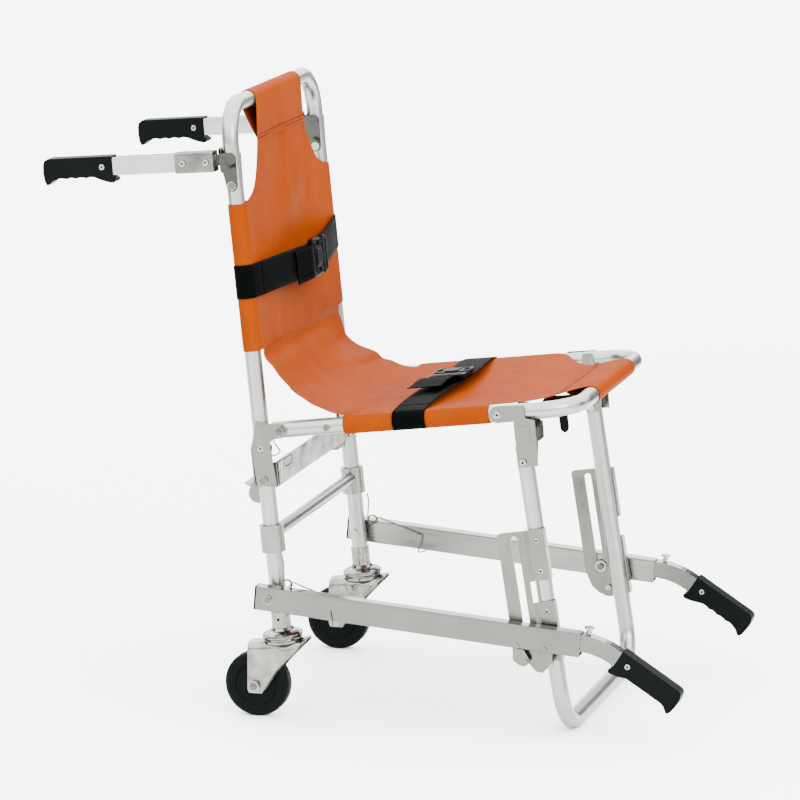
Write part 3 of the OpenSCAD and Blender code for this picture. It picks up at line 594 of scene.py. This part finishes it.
def build_sling():
    """The sling as one sheet, its sleeves wrapped round the tubes; and the area of its cut."""
    rows, path = ROWS, PATH
    cols = 56
    wrap = 14       # steps round a tube
    back = 6        # steps of the hem behind the panel
    hem_in, hem_run, hem_gap = 36, 42, 8.2      # its reach inboard, its length and where it ends
    verts, uv, faces = [], [], []
    slack = [i for i, r in enumerate(rows) if r[3] == "slack"]
    index = []
    for i, (Y, Z, w, zone) in enumerate(rows):
        p, q = rows[max(i - 1, 0)], rows[min(i + 1, len(rows) - 1)]
        tY, tZ = q[0] - p[0], q[1] - p[1]
        d = math.hypot(tY, tZ)
        nY, nZ = tZ / d, -tY / d
        if zone in ("tab", "back"):
            along = (BACK.inverted() @ Vector((0, Y / 1000, Z / 1000))).z
        elif zone in ("seat", "lap"):
            along = (SEAT.inverted() @ Vector((0, Y / 1000, Z / 1000))).z
        else:
            along = path[i]
        t = (path[i] - path[slack[0]]) / (path[slack[-1]] - path[slack[0]])
        keep = 1.0
        if zone == "slack":     # the slack leaves and meets the sleeves without a step
            keep = smooth_step(0, 0.12, t) * smooth_step(1, 0.88, t)
        line = []
        for c in range(cols + 1):
            u = 2 * c / cols - 1
            x = u * (w if not isinstance(w, tuple) else w[0] if u < 0 else w[1])
            o = sling_offset(zone, x, along, t)
            if zone == "slack":
                rest = -5.0 * max(0, 1 - (x / X_TUBE) ** 2) - (0.5 if t < 0.5 else 0.8)
                o = o * keep + rest * (1 - keep)
            line.append(len(verts))
            verts.append((x / 1000, (Y + nY * o) / 1000, (Z + nZ * o) / 1000))
            uv.append((x / 1000, path[i] / 1000))
        extra = {}
        if zone in ("back", "seat"):
            for m in (-1, 1):
                strip = [line[0] if m < 0 else line[-1]]
                for k in range(1, wrap + back + 1):
                    if k <= wrap:
                        a = math.pi * k / wrap
                        x = m * (X_TUBE + WRAP_R * math.sin(a))
                        o = -WRAP_R * (1 - math.cos(a))
                        go = WRAP_R * a
                    else:       # the hem layer runs in behind the panel and is sewn to it
                        g = (k - wrap) / back
                        x = m * (X_TUBE - hem_in * g)
                        o = -2 * WRAP_R + (2 * WRAP_R - hem_gap) * g ** 1.3
                        go = WRAP_R * math.pi + hem_run * g
                    strip.append(len(verts))
                    verts.append((x / 1000, (Y + nY * o) / 1000, (Z + nZ * o) / 1000))
                    uv.append((m * (X_TUBE + go) / 1000, path[i] / 1000))
                extra[m] = strip
        index.append((line, extra))
    for (a, ea), (b, eb) in zip(index, index[1:]):
        for c in range(cols):
            faces.append((a[c], a[c + 1], b[c + 1], b[c]))
        for m in (-1, 1):
            if m in ea and m in eb:
                s, r = ea[m], eb[m]
                for k in range(len(s) - 1):
                    q = (s[k], s[k + 1], r[k + 1], r[k])
                    faces.append(q if m > 0 else q[::-1])
    o = piece("sling", verts, faces, VINYL, True, uv)
    flat = sum(p.area for p in o.data.polygons)
    thicken(o, CLOTH)
    o.modifiers.new("round", "SUBSURF").levels = 0
    o.modifiers["round"].render_levels = 1
    return o, flat


sling, sling_area = build_sling()
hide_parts("sling_back", "sling_seat")
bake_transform(sling)


# ---------------------------------------------------------------- straps and buckles

WEB_T = 1.5
WEB_W = 50.0


def strap(name, m, sign, l_of, rise_of, body, stands_for, around=0.8):
    """Webbing across the sling, as two turns round the tubes and the middle between them. In frame m its
    outer side is sign * y; l_of(x) is its middle along the frame, rise_of(x) its height off the sling."""
    r = WRAP_R + CLOTH / 2 + WEB_T / 2 + 0.35
    line = []
    n = 16
    for k in range(n + 1):                              # round the near tube
        a = math.pi * around * (1 - k / n)
        line.append((-X_TUBE - r * math.sin(a), r * math.cos(a), -X_TUBE))
    for k in range(1, 60):
        x = X_TUBE * (k / 30 - 1)
        line.append((x, r + rise_of(x), x))
    for k in range(n + 1):
        a = math.pi * around * k / n
        line.append((X_TUBE + r * math.sin(a), r * math.cos(a), X_TUBE))
    across = 8
    vs, uv, runs = [], [], []
    go = 0.0
    for i, (x, out, at) in enumerate(line):
        if i:
            go += math.hypot(x - line[i - 1][0], out - line[i - 1][1])
        runs.append(go)
        for k in range(across + 1):
            w = (k / across - 0.5) * WEB_W
            cup = 0.7 * (1 - (2 * w / WEB_W) ** 2) * smooth_step(218, 150, abs(at))
            vs.append(m @ Vector((x, sign * (out + cup), l_of(at) + w)))
            uv.append((w / 1000, go / 1000))
    first, last = n + 3, len(line) - n - 4      # the middle stretch, clear of the tubes
    for part, spans, replaced in (("", [(0, first), (last, len(line) - 1)], [stands_for]),
                                  ("_middle", [(first, last)], [])):
        used, fs = {}, []
        for a0, a1 in spans:
            for i in range(a0, a1):
                for k in range(across):
                    a = i * (across + 1) + k
                    q = (a, a + 1, a + across + 2, a + across + 1)
                    fs.append([used.setdefault(v, len(used)) for v in (q if sign > 0 else q[::-1])])
        keep = sorted(used, key=used.get)
        o = piece(name + part, [vs[v] for v in keep], fs, WEB, True, [uv[v] for v in keep])
        thicken(o, WEB_T)
        belongs(o, "strap_webbing", body, *replaced)
    return o


def outline_solid(loops, depth, bevel):
    """(points, faces) of a plate with rounded edges about its own origin, from closed 2D outlines in mm;
    inner ones are holes."""
    cu = bpy.data.curves.new("outline", "CURVE")
    cu.dimensions, cu.fill_mode = "2D", "BOTH"
    cu.extrude, cu.bevel_depth, cu.bevel_resolution = max(depth / 2 - bevel, 0.01), bevel, 2
    cu.offset = -bevel
    for pts in loops:
        sp = cu.splines.new("POLY")
        sp.points.add(len(pts) - 1)
        for p, (x, y) in zip(sp.points, pts):
            p.co = (x, y, 0, 1)
        sp.use_cyclic_u = True
    tmp = bpy.data.objects.new("outline", cu)
    bpy.context.scene.collection.objects.link(tmp)
    me = bpy.data.meshes.new_from_object(tmp.evaluated_get(bpy.context.evaluated_depsgraph_get()))
    bpy.data.objects.remove(tmp)
    bpy.data.curves.remove(cu)
    vs = [tuple(v.co) for v in me.vertices]
    fs = [tuple(p.vertices) for p in me.polygons]
    bpy.data.meshes.remove(me)
    return vs, fs


def rounded(points, r, n=5):
    """Corners of a 2D outline rounded to radius r."""
    out = []
    k = len(points)
    for i in range(k):
        a, b, c = (Vector(points[(i + d) % k]) for d in (-1, 0, 1))
        u, v = (a - b).normalized(), (c - b).normalized()
        half = math.acos(max(-1, min(1, u.dot(v)))) / 2
        d = min(r / max(math.tan(half), 0.05), (a - b).length * 0.45, (c - b).length * 0.45)
        p, q = b + u * d, b + v * d
        for j in range(n + 1):
            t = j / n
            out.append(tuple((1 - t) ** 2 * p + 2 * t * (1 - t) * b + t * t * q))
    return out


def plate(m, z, loops, depth, bevel):
    """(verts, faces): such a plate with its middle z above frame m."""
    points, faces = outline_solid(loops, depth, bevel)
    at = raised(m, z)
    return [at @ Vector(v) for v in points], faces


def buckle(name, m):
    """Side-release buckle: socket with side windows, prongs and centre guide, webbing bars. In m: x along
    the webbing (prongs towards -x), y across it, z out."""
    shell = rounded([(-2, -27), (14, -29.5), (30, -29), (33, -25), (33, 25), (30, 29), (14, 29.5), (-2, 27),
                     (-6, 20), (-7, 0), (-6, -20)], 4)
    win = [rounded([(4, s * 16), (17, s * 17), (20, s * 21.5), (16, s * 26), (3, s * 24)], 2.5)
           for s in (-1, 1)]
    bar = rounded([(24, -23), (28, -23), (28, 23), (24, 23)], 1.6)
    middle = rounded([(-3, -11), (19, -13), (21, 0), (19, 13), (-3, 11), (-5, 0)], 3)
    base = rounded([(-32, -27), (-17, -29), (-13, -25), (-13, 25), (-17, 29), (-32, 27)], 3.5)
    hole = rounded([(-27.5, -23), (-23.5, -23), (-23.5, 23), (-27.5, 23)], 1.6)
    parts = [plate(m, 6.2, [shell] + win + [bar], 8.6, 1.5), plate(m, 10.4, [middle], 3.2, 1.2),
             plate(m, 6.0, [base, hole], 7.4, 1.4)]
    for s in (-1, 1):
        prong = rounded([(-15, s * 25), (-4, s * 27.5), (6, s * 27.8), (15, s * 24.5), (18, s * 20),
                         (14, s * 18.5), (6, s * 21.5), (-4, s * 20.5), (-15, s * 17)], 2)
        parts.append(plate(m, 6.0, [prong[::s]], 5.4, 1.2))
    parts.append(plate(m, 6.0, [rounded([(-15, -4), (0, -3.4), (0, 3.4), (-15, 4)], 1.5)], 4.4, 1.0))
    return merged(name, parts, BUCKLE, False)


def smooth_by_angle(o, degrees):
    """Smooth shading except across edges sharper than that."""
    o.data.set_sharp_from_angle(angle=math.radians(degrees))
    for p in o.data.polygons:
        p.use_smooth = True
    return o


BACK_STRAP_L, SEAT_STRAP_L = 667.0, 205.0


def back_l(x):
    return BACK_STRAP_L - 3.0 - 5.0 * math.exp(-((x - 10) / 110) ** 2) + 8 * smooth_step(120, 220, x)


def back_rise(x):
    return 15.0 * max(0, 1 - (x / 219) ** 2) ** 0.9 + 3.0 * math.exp(-((x + 12) / 22) ** 2)


def seat_l(x):
    return SEAT_STRAP_L - 6 + 10 * math.exp(-((x - 40) / 120) ** 2) - 6 * smooth_step(60, 220, x)


def seat_rise(x):
    return 7.0 * max(0, 1 - (x / 219) ** 2) ** 0.8


back_mid = strap("back_strap_webbing", BACK, -1, back_l, back_rise, "back_frame", "back_strap")
seat_mid = strap("seat_strap_webbing", SEAT, 1, seat_l, seat_rise, "seat_frame", "seat_strap")


def at_strap(m, sign, x, l, out, turn, tip):
    """Matrix on the strap at x: its x along the webbing, y across it, z out."""
    base = m @ Matrix.Translation((x, sign * out, l))
    if sign < 0:                    # in BACK: out is -y, across is z
        r = Matrix(((1, 0, 0, 0), (0, 0, -1, 0), (0, 1, 0, 0), (0, 0, 0, 1)))
    else:                           # in SEAT: out is +y, across is z
        r = Matrix(((1, 0, 0, 0), (0, 0, 1, 0), (0, -1, 0, 0), (0, 0, 0, 1)))
    turned = Matrix.Rotation(math.radians(turn), 4, "Z") @ Matrix.Rotation(math.radians(tip), 4, "Y")
    return base @ r @ turned


STRAP_R = WRAP_R + CLOTH / 2 + WEB_T + 0.35
BACK_BUCKLE_X, SEAT_BUCKLE_X = 42, -2


def buckle_on(name, m, sign, x, l_of, rise_of, turn, tip, old, body):
    o = buckle(name, at_strap(m, sign, x, l_of(x), STRAP_R + rise_of(x) + 0.2, turn, tip))
    return belongs(smooth_by_angle(o, 40), "buckle_plastic", body, old)


back_buckle = buckle_on("back_strap_buckle", BACK, -1, BACK_BUCKLE_X, back_l, back_rise, 180, 3,
                        "back_buckle", "back_frame")
seat_buckle = buckle_on("seat_strap_buckle", SEAT, 1, SEAT_BUCKLE_X, seat_l, seat_rise, 0, 0,
                        "seat_buckle", "seat_frame")


def tail(name, m, sign, x0, x1, l_of, rise_of, shape, body):
    """Loose end of the webbing folded back over the strap: shape gives (share of the way, height, sideways)
    points of its middle."""
    pts = spline([Vector((x0 + (x1 - x0) * t, STRAP_R + rise_of(x0 + (x1 - x0) * t) + h, l_of(x0) + w))
                  for t, h, w in shape], 6)
    across = 8
    vs, uv = [], []
    go = 0
    for i, p in enumerate(pts):
        if i:
            go += (p - pts[i - 1]).length
        for k in range(across + 1):
            w = (k / across - 0.5) * WEB_W
            vs.append(m @ Vector((p.x, sign * p.y, p.z + w)))
            uv.append((w / 1000, go / 1000))
    o = piece(name, vs, quads(len(pts), across + 1), WEB, True, uv)
    thicken(o, WEB_T)
    belongs(o, "strap_webbing", body)
    return o


back_tail = tail("back_strap_tail", BACK, -1, 14, -62, back_l, back_rise,
                 [(0.0, 5.0, 0), (0.12, 8.5, 0), (0.32, 9.5, -1), (0.55, 7.5, -2), (0.8, 5.0, -3),
                  (1.0, 3.2, -4)], "back_frame")
seat_tail = tail("seat_strap_tail", SEAT, 1, -30, -112, seat_l, seat_rise,
                 [(0.0, 5.0, 0), (0.15, 9.0, -3), (0.35, 11.5, -6), (0.6, 10.5, -9), (0.85, 8.0, -12),
                  (1.0, 8.5, -14)], "seat_frame")

# the loose webbing and the buckles each get a mesh of their own
for frame_m, y, l, pieces in ((BACK, -1, BACK_STRAP_L, (back_mid, back_tail, back_buckle)),
                              (SEAT, 1, SEAT_STRAP_L, (seat_mid, seat_tail, seat_buckle))):
    for o in pieces:
        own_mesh(o)

# ---------------------------------------------------------------- fasteners and small parts

# near-black fill for the rivets' open middles, the lock bar's window edges and the pin holes: painted shade
# in those hollows
DARK = plastic("recess_painted_shade", (0.003, 0.003, 0.003), 0.6)


def rivet(m, r, h, hole):
    """Domed tubular rivet head on the z axis of m, its open middle left for a dark core of painted shade."""
    return lathe(m, [(r, -0.15), (r, 0.25), (r * 0.93, h * 0.62), (r * 0.75, h * 0.9), (hole + 0.7, h),
                     (hole, h * 0.85), (hole * 0.9, 0.2)], 24)


def hexagon(m, z, r, h, bevel, turn=0):
    """(verts, faces): a hexagonal head or nut of corner radius r, its middle z above frame m."""
    corners = [math.radians(60 * k + turn) for k in range(6)]
    return plate(m, z, [[(r * math.cos(a), r * math.sin(a)) for a in corners]], h, bevel)


def hex_nut(m, z, across, h):
    return hexagon(m, z, across / 2 / math.cos(math.radians(30)), h, 0.7, 30)


def washer(m, r, h, hole):
    return lathe(m, [(r - 0.3, 0), (r, 0.3), (r, h - 0.3), (r - 0.3, h), (hole, h), (hole, 0)], 32)


def bolt_end(m, r, h):
    """The end of a threaded shank."""
    prof = []
    k = int(h / 0.5)
    for i in range(k):
        prof += [(r - 0.35, i * 0.5), (r, i * 0.5 + 0.25)]
    prof += [(r - 0.6, h), (0.5, h + 0.1)]
    return lathe(m, prof, 24)


def add(name, parts, mat, body, slot_name):
    """One small piece from several (verts, faces), on its body."""
    return belongs(smooth_by_angle(merged(name, parts, mat), 35), slot_name, body)


WALL = 232.5        # outboard side of the frame tubes
SHEET_OUT = 234.8   # outer face of the outboard sheets
RAIL_OUT = 265      # outer face of the rails
WHEEL = (0, 50)     # the caster axle in the side view


def riveted(heads, cores, body, *places, more=()):
    """Tubular rivets at places (matrix, head radius, head height, open middle, core radius, core height):
    their heads, with more in the same piece, and their dark cores, painted shade in the hollow middles."""
    add(heads, [rivet(*place[:4]) for place in places] + list(more), BOLT, body, "fastener_steel")
    add(cores, [lathe(m, [(r, 0.1), (r - 0.1, h)], 16) for m, _, _, _, r, h in places], DARK, body,
        "black_plastic")


riveted("bracket_rivet_heads", "bracket_rivet_cores", "back_frame",
        *[(x_axis(BACK, s * SHEET_OUT, -1, 413.2, s), 5.2, 2.4, 1.7, 1.8, 1.6) for s in (-1, 1)])

# grips and hinge sleeves of the handles
HANDLE_X, HANDLE_L = 224.5, 845.7
HANDLE_PIN = Matrix.Translation((0, 18.5, HANDLE_L))
HANDLE = BACK @ HANDLE_PIN @ Matrix.Rotation(math.radians(1.2), 4, "X") @ HANDLE_PIN.inverted()
for s, sd in SIDES:
    riveted(sd + "_rear_grip_rivet", sd + "_rear_grip_rivet_core", sd + "_rear_handle",
            *[(x_axis(HANDLE, s * HANDLE_X + face * 13.0, 198, 846, face), 4.6, 1.5, 1.7, 1.7, 1.2)
              for face in (-1, 1)])
    riveted(sd + "_sleeve_rivet_heads", sd + "_sleeve_rivet_cores", sd + "_rear_handle",
            *[(x_axis(HANDLE, s * (HANDLE_X + 14.4), y, HANDLE_L, s), 5.2, 1.6, 1.6, 1.6, 1.3)
              for y in (36, 72)])

RAIL_X, FRONT_Z = 252.5, 3.6
BEND, BEND_R = math.radians(28.2), 112  # of the front handles' bars
for s, sd, out in ((-1, "right", 0.0), (1, "left", 4.5)):
    grip = (RAIL @ Matrix.Translation((s * RAIL_X, -478 - out, FRONT_Z))
            @ Matrix.Translation((0, -BEND_R * math.sin(BEND), -BEND_R * (1 - math.cos(BEND))))
            @ Matrix.Rotation(BEND, 4, "X") @ Matrix.Translation((0, -12, 0))
            @ Matrix.Rotation(math.pi, 4, "Z"))
    riveted(sd + "_front_grip_rivet", sd + "_front_grip_rivet_core", sd + "_front_handle",
            *[(x_axis(grip, face * 13.0, 12, 0.5, face), 4.4, 1.5, 1.7, 1.7, 1.2) for face in (-1, 1)])

# seat frame: tube rivets, leg hinge ends and tube bolts
riveted("seat_rivet_heads", "seat_rivet_cores", "seat_frame",
        *[(x_axis(SEAT, s * SHEET_OUT, 0, 335.2, s), 5.4, 2.4, 1.8, 1.9, 1.7) for s in (-1, 1)],
        *[(axis_at(LEG_HINGE, s * (SHEET_OUT + 2.3), s), 5.4, 1.8, 1.8, 1.9, 1.3) for s in (-1, 1)])
add("seat_tube_bolt_heads",
    [hexagon(x_axis(SEAT, s * (WALL + 2.3), 0, 72.3, s), 0, 5.2, 3, 0.5) for s in (-1, 1)],
    NUT, "seat_frame", "fastener_steel")

# nuts of the back frame's bolts: seat hinge with its shank end, lock bar, rail pivot, handle pin
hs = []
for s in (-1, 1):
    m = axis_at(SEAT_HINGE, s * (SHEET_OUT + 3.0), s)
    hs.append(hex_nut(m, 0.7, 12.6, 2.6))
    hs.append(bolt_end(raised(m, 1.6), 3.3, 3.0))
    m = x_axis(BACK, s * (SHEET_OUT + 2.6), 0, 364.97, s)
    hs.append(hex_nut(m, 0.6, 11.5, 3.0))
    m = axis_at(RAIL_PIVOT, s * (RAIL_OUT + 2.5), s)
    hs.append(hex_nut(m, 0.9, 9.6, 2.6))
    m = x_axis(BACK, s * (SHEET_OUT + 1.8), 0, 808.3, s)
    hs.append(hex_nut(m, 1.0, 9.8, 2.8))
add("back_frame_nuts", hs, NUT, "back_frame", "fastener_steel")

# leg frame: the slot bolts' heads on their big washers, and rivets on the wraps
slots = [x_axis(LEG, s * 235.2, -30.4, 256.5, -s) for s in (-1, 1)]
add("slot_bolt_heads", [hexagon(m, 3.2, 5.6, 4.6, 0.6) for m in slots], NUT, "leg_frame", "fastener_steel")
riveted("leg_rivet_heads", "leg_rivet_cores", "leg_frame",
        *[(x_axis(LEG, s * SHEET_OUT, 2, l, s), 4.4, 2.3, 1.7, 1.7, 1.8)
          for s in (-1, 1) for l in (118, 164, 225)],
        more=[washer(m, 9.5, 1.2, 5.3) for m in slots])

# wheels: washer, nut and shank end of each axle
for s, sd in SIDES:
    m = axis_at(WHEEL, s * 239.3, s)
    axle = [washer(m, 8.8, 1.4, 4.0), hex_nut(m, 6.3, 13.0, 5.4), bolt_end(raised(m, 8.9), 3.8, 1.6)]
    add(sd + "_axle_nut", axle, NUT, sd + "_caster", "fastener_steel")

# caster swivel: balls between the dome and the fork show as a bright ring
for s, sd in SIDES:
    m = BACK @ Matrix.Translation((s * X_TUBE, 0, 0))
    race = ring(m, [(27.4, 120.9), (28.8, 121.1), (29.3, 121.9), (28.8, 123.0), (27.4, 123.6)])
    add(sd + "_caster_race", [race], ZINC, sd + "_caster", "caster_zinc")

# lock bar: dark strips of painted shade along the edges of the pressed window near each end, and the doubler
# plate beside the upright in the darker sheet material, whose base colour is painted dark reflection
def on_bar(s, xa, xb, z0, z1, thick):
    """(verts, faces): a flat block on the bar's front face, from xa to xb on side s and from z0 to z1."""
    x0, x1 = sorted((s * xa, s * xb))
    vs = []
    for out in (-0.1, thick):
        for x, z in ((x0, z0), (x1, z0), (x1, z1), (x0, z1)):
            face = 25 + (386 - z) * 3.8 / 37
            vs.append(side(face + out, z, x) / 1000)
    return vs, [(0, 1, 2, 3), (7, 6, 5, 4), (0, 4, 5, 1), (1, 5, 6, 2), (2, 6, 7, 3), (3, 7, 4, 0)]


for s, sd in SIDES:
    edges = [on_bar(s, 127, 128.6, 370, 384, 0.3), on_bar(s, 128.6, 163, 370, 371.4, 0.3),
             on_bar(s, 128.6, 172, 382.8, 384, 0.3)]
    add(sd + "_bar_window_shade", edges, DARK, "lock_lever", "black_plastic")
    doubler = [on_bar(s, 177, 202, 351, 384.5, 1.2)]
    soften(add(sd + "_bar_doubler", doubler, SHEET_PAINTED_DARK, "lock_lever", "bracket_steel"), 0.0004, 2)

# pressed caster forks: one sheet bent over the wheel, ribbed beside the crown, its front edge turned out
FORK_LOW = [(-11, 43.5), (-8.7, 38), (12.5, 38), (18, 44.6), (35, 72), (49, 88), (77.5, 117.8)]
FORK_OUT = 19.1


def fork_rib(s, z):
    """How far the triangular rib beside the crown stands out of the cheek at (s, z)."""
    tri = [(38, 110), (43, 84), (70, 113)]
    inside = min(((bx - ax) * (z - ay) - (by - ay) * (s - ax)) / math.hypot(bx - ax, by - ay)
                 for (ax, ay), (bx, by) in zip(tri, tri[1:] + tri[:1]))
    return 1.7 * smooth_step(-1, 4, inside)


def fork_section(st):
    """The bent sheet's (x from the wheel's middle, z) at station st, from one lower edge to the other."""
    low, top = table_at(FORK_LOW, st), 113.03 + 0.1042 * st
    bend = min(9.0, top - low - 0.6)
    turned = smooth_step(12, 20, st)
    half = [(FORK_OUT + 2.2 * turned, low), (FORK_OUT + 0.5 * turned, low + 0.5)]
    half += [(FORK_OUT, low + 1.2 + (top - bend - low - 1.2) * k / 16) for k in range(17)]
    for k in range(1, 7):
        a = math.radians(90 * k / 6)
        half.append((FORK_OUT - bend * (1 - math.cos(a)), top - bend * (1 - math.sin(a))))
    half = [(x + fork_rib(st, z), z) for x, z in half]
    crown = [(x, top + 1.0 * (1 - (x / 10.1) ** 2)) for x in (6, 2, -2, -6)]
    return half + crown + [(-x, z) for x, z in half[::-1]]


for s, sd in SIDES:
    stations = [-11 + 88.5 * i / 70 for i in range(71)]
    sections = [fork_section(st) for st in stations]
    vs = [side(st, z, s * X_TUBE - x) / 1000 for st, row in zip(stations, sections) for x, z in row]
    n = len(sections[0])
    king_pin = BACK @ Vector((s * X_TUBE, 0, 115))
    fs = [q for q in quads(len(stations), n)
          if (sum((vs[v] for v in q), Vector()) / 4 - king_pin).length > 0.0125]
    o = piece(sd + "_fork_pressed", vs, fs, ZINC)
    # the darker sheet material on the turned edge and the cut rim is painted shade along the fork's edges
    o.data.materials.append(SHEET_PAINTED_DARK)
    for poly, q in zip(o.data.polygons, fs):        # the turned edge is darker
        station, k = divmod(q[0], n)
        poly.material_index = int(k in (0, n - 2) and stations[station] > 12)
    thicken(o, 2.4, -1).material_offset_rim = 1
    belongs(o, "caster_zinc", sd + "_caster", sd + "_fork")
    race = ring(BACK @ Matrix.Translation((s * X_TUBE, 0, 0)),
                [(9.5, 116.2), (28.4, 116.2), (29, 116.8), (29, 120.2), (28.2, 120.7), (27, 120.7),
                 (27, 124.6), (9.5, 124.6)], 48)
    add(sd + "_lower_race", [race], ZINC, sd + "_caster", "caster_zinc")

# dark discs in the pin holes of the caster sockets and the leg tube: painted shade in the holes
for name, m, x, l, prof, body in (
        ("socket_pin_hole_shade", BACK, X_TUBE + 14.45, 152.5, [(2.3, -0.1), (1.9, 0.5)], "back_frame"),
        ("leg_pin_hole_shade", LEG, 232.3, 292, [(2.4, -0.1), (2.0, 0.35)], "leg_frame")):
    add(name, [lathe(x_axis(m, s * x, 0, l, s), prof, 16) for s in (-1, 1)], DARK, body, "black_plastic")


def wire(points, per):
    """A spline in metres through (s, z, x) points in mm."""
    return [p / 1000 for p in spline([side(*q) for q in points], per)]


# torsion springs as round wire, in place of the square arms of the plain ones
for s, sd in SIDES:
    cx, ax = s * (WALL + 2.2), s * 238.2
    pivot_s, pivot_z, r = 50.5, 207.0, 7.2
    turns, steps = 3.25, 65
    coil = []
    for k in range(1, steps + 1):
        a = math.radians(180 + 360 * turns * k / steps)
        x = cx + s * 4.2 * k / steps
        coil.append(side(pivot_s + r * math.cos(a), pivot_z + r * math.sin(a), x) / 1000)
    up_arm = wire([(42, 250, cx), (44.5, 236, cx + s * 0.3), (43.4, 218, cx), (43.3, 209, cx)], 4)
    arm = wire([(56, 213.2, ax), (75, 206, ax), (100, 197.5, ax), (124, 189, ax), (131.5, 185.2, ax),
                (130.5, 176, ax), (125.5, 163, ax), (124.6, 158.2, ax + s * 1.5), (127, 156.2, s * 250),
                (129.5, 154.6, s * 264), (129.6, 156.5, s * 266.8), (127.8, 166, s * 266.8),
                (125.6, 178, s * 266.8)], 5)
    o = merged(sd + "_spring_wire", [sweep(up_arm + coil + arm[1:], 0.00115, 10)], SPRING)
    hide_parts(sd + "_torsion_spring")
    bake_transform(o)

# wire clips that hold the lock bar, beside each seat bracket
for s, sd in SIDES:
    x = s * 221
    clip = wire([(21, 400, x), (22, 412, x - 1.5 * s), (20.5, 418, x + 4 * s), (24, 423, x),
                 (26, 416, x - 5 * s), (33, 409, x - 3 * s), (35, 405, x), (28, 400, x + 4 * s),
                 (17, 404, x + 9 * s), (9, 407, s * 236.6)], 6)
    add(sd + "_clip_wire", [sweep(clip, 0.0011, 8)], SPRING, "back_frame", "spring_steel")

# the black flap under the seat's front corner and the tongue that hangs from it
TONGUE = [(-128, 3.4), (-150, 3.6), (-170, 1.6), (-177.4, -5), (-178.6, -14), (-178.4, -28), (-178, -42.5)]
prof = spline([Vector((x, y, 0)) for x, y in TONGUE], 6)
vs = []
n = len(prof)
for i, p in enumerate(prof):
    t = i / (n - 1)
    half = 23 - 16.5 * smooth_step(0.28, 0.55, t)
    mid = 409 + 11 * smooth_step(0.2, 0.6, t)
    if t > 0.9:
        half *= math.sqrt(max(0.02, 1 - ((t - 0.9) / 0.1) ** 2))
    for k in range(7):
        vs.append(SEAT @ Vector((p.x, p.y, mid + half * (k / 3 - 1))))
tongue = piece("front_tongue", vs, quads(n, 7), BLACK)
thicken(tongue, 3.6)
soften(tongue, 0.0008, 2)
belongs(tongue, "tongue_rubber", "seat_frame", "pull_tongue")


# ---------------------------------------------------------------- stage

def set_piece(name, corners, shade, rough):
    """A flat grey piece of the set, which isn't part of the chair."""
    o = piece(name, corners, [(0, 1, 2, 3)], material(name, grey(shade), rough), False)
    return o


FLOOR = 30                              # half its side, in metres
set_piece("floor", [(-FLOOR, -FLOOR, 0), (FLOOR, -FLOOR, 0), (FLOOR, FLOOR, 0), (-FLOOR, FLOOR, 0)],
          0.95, 0.65)

# a bright sky that darkens towards and below the horizon
world = bpy.data.worlds.new("studio")
bpy.context.scene.world = world
world.use_nodes = True
background = world.node_tree.nodes["Background"]
height = node(world, "ShaderNodeSeparateXYZ")
link(world, node(world, "ShaderNodeTexCoord"), "Generated", height, 0)
sky = ramp(world, height, [(0.0, grey(0.03)), (0.10, grey(0.10)), (0.30, grey(0.85)), (1.0, grey(1.0))], "Z")
link(world, sky, "Color", background, "Color")
background.inputs["Strength"].default_value = 9.0

light = bpy.data.lights.new("key", "AREA")
light.shape, light.size, light.energy = "SQUARE", 1.6, 160
key = bpy.data.objects.new("key", light)
bpy.context.scene.collection.objects.link(key)
key.location = (-2.6, -3.2, 2.6)
key.rotation_euler = (Vector((0, 0, 0.5)) - key.location).to_track_quat("-Z", "Y").to_euler()


def card(name, towards, distance, wide, high, low, shade):
    """A standing card round the set, facing the middle; towards is its compass direction. The tubes mirror
    it, but the camera doesn't see it."""
    d = Vector(towards).normalized()
    s = Vector((-d.y, d.x, 0)) * wide / 2
    corners = [d * distance + k * s + Vector((0, 0, z))
               for k, z in ((-1, low), (1, low), (1, high), (-1, high))]
    set_piece(name, corners, shade, 0.8).visible_camera = False


card("card_left", (-0.2639, 0.9646, 0), 2.3, 1.3, 1.6, 0.0, 0.02)
card("card_right", (0.2639, -0.9646, 0), 2.6, 1.1, 1.6, 0.0, 0.02)
card("card_back", (2.6, -1.35, 0), 2.9, 2.0, 1.5, 0.0, 0.02)

# ---------------------------------------------------------------- camera

cam = bpy.data.cameras.new("camera")
cam_o = bpy.data.objects.new("camera", cam)
bpy.context.scene.collection.objects.link(cam_o)
cam.sensor_width = 36
cam.lens = 222.66
forward = Vector((0.9472, 0.2591, -0.1886))
right = Vector((0.2639, -0.9646, 0))
up = Vector((0.1819, 0.0498, 0.9820))
rot = Matrix((right, up, -forward)).transposed()
cam_o.matrix_world = Matrix.Translation((-7.1338, -1.9438, 1.8698)) @ rot.to_4x4()
cam.clip_end = 100
bpy.context.scene.camera = cam_o
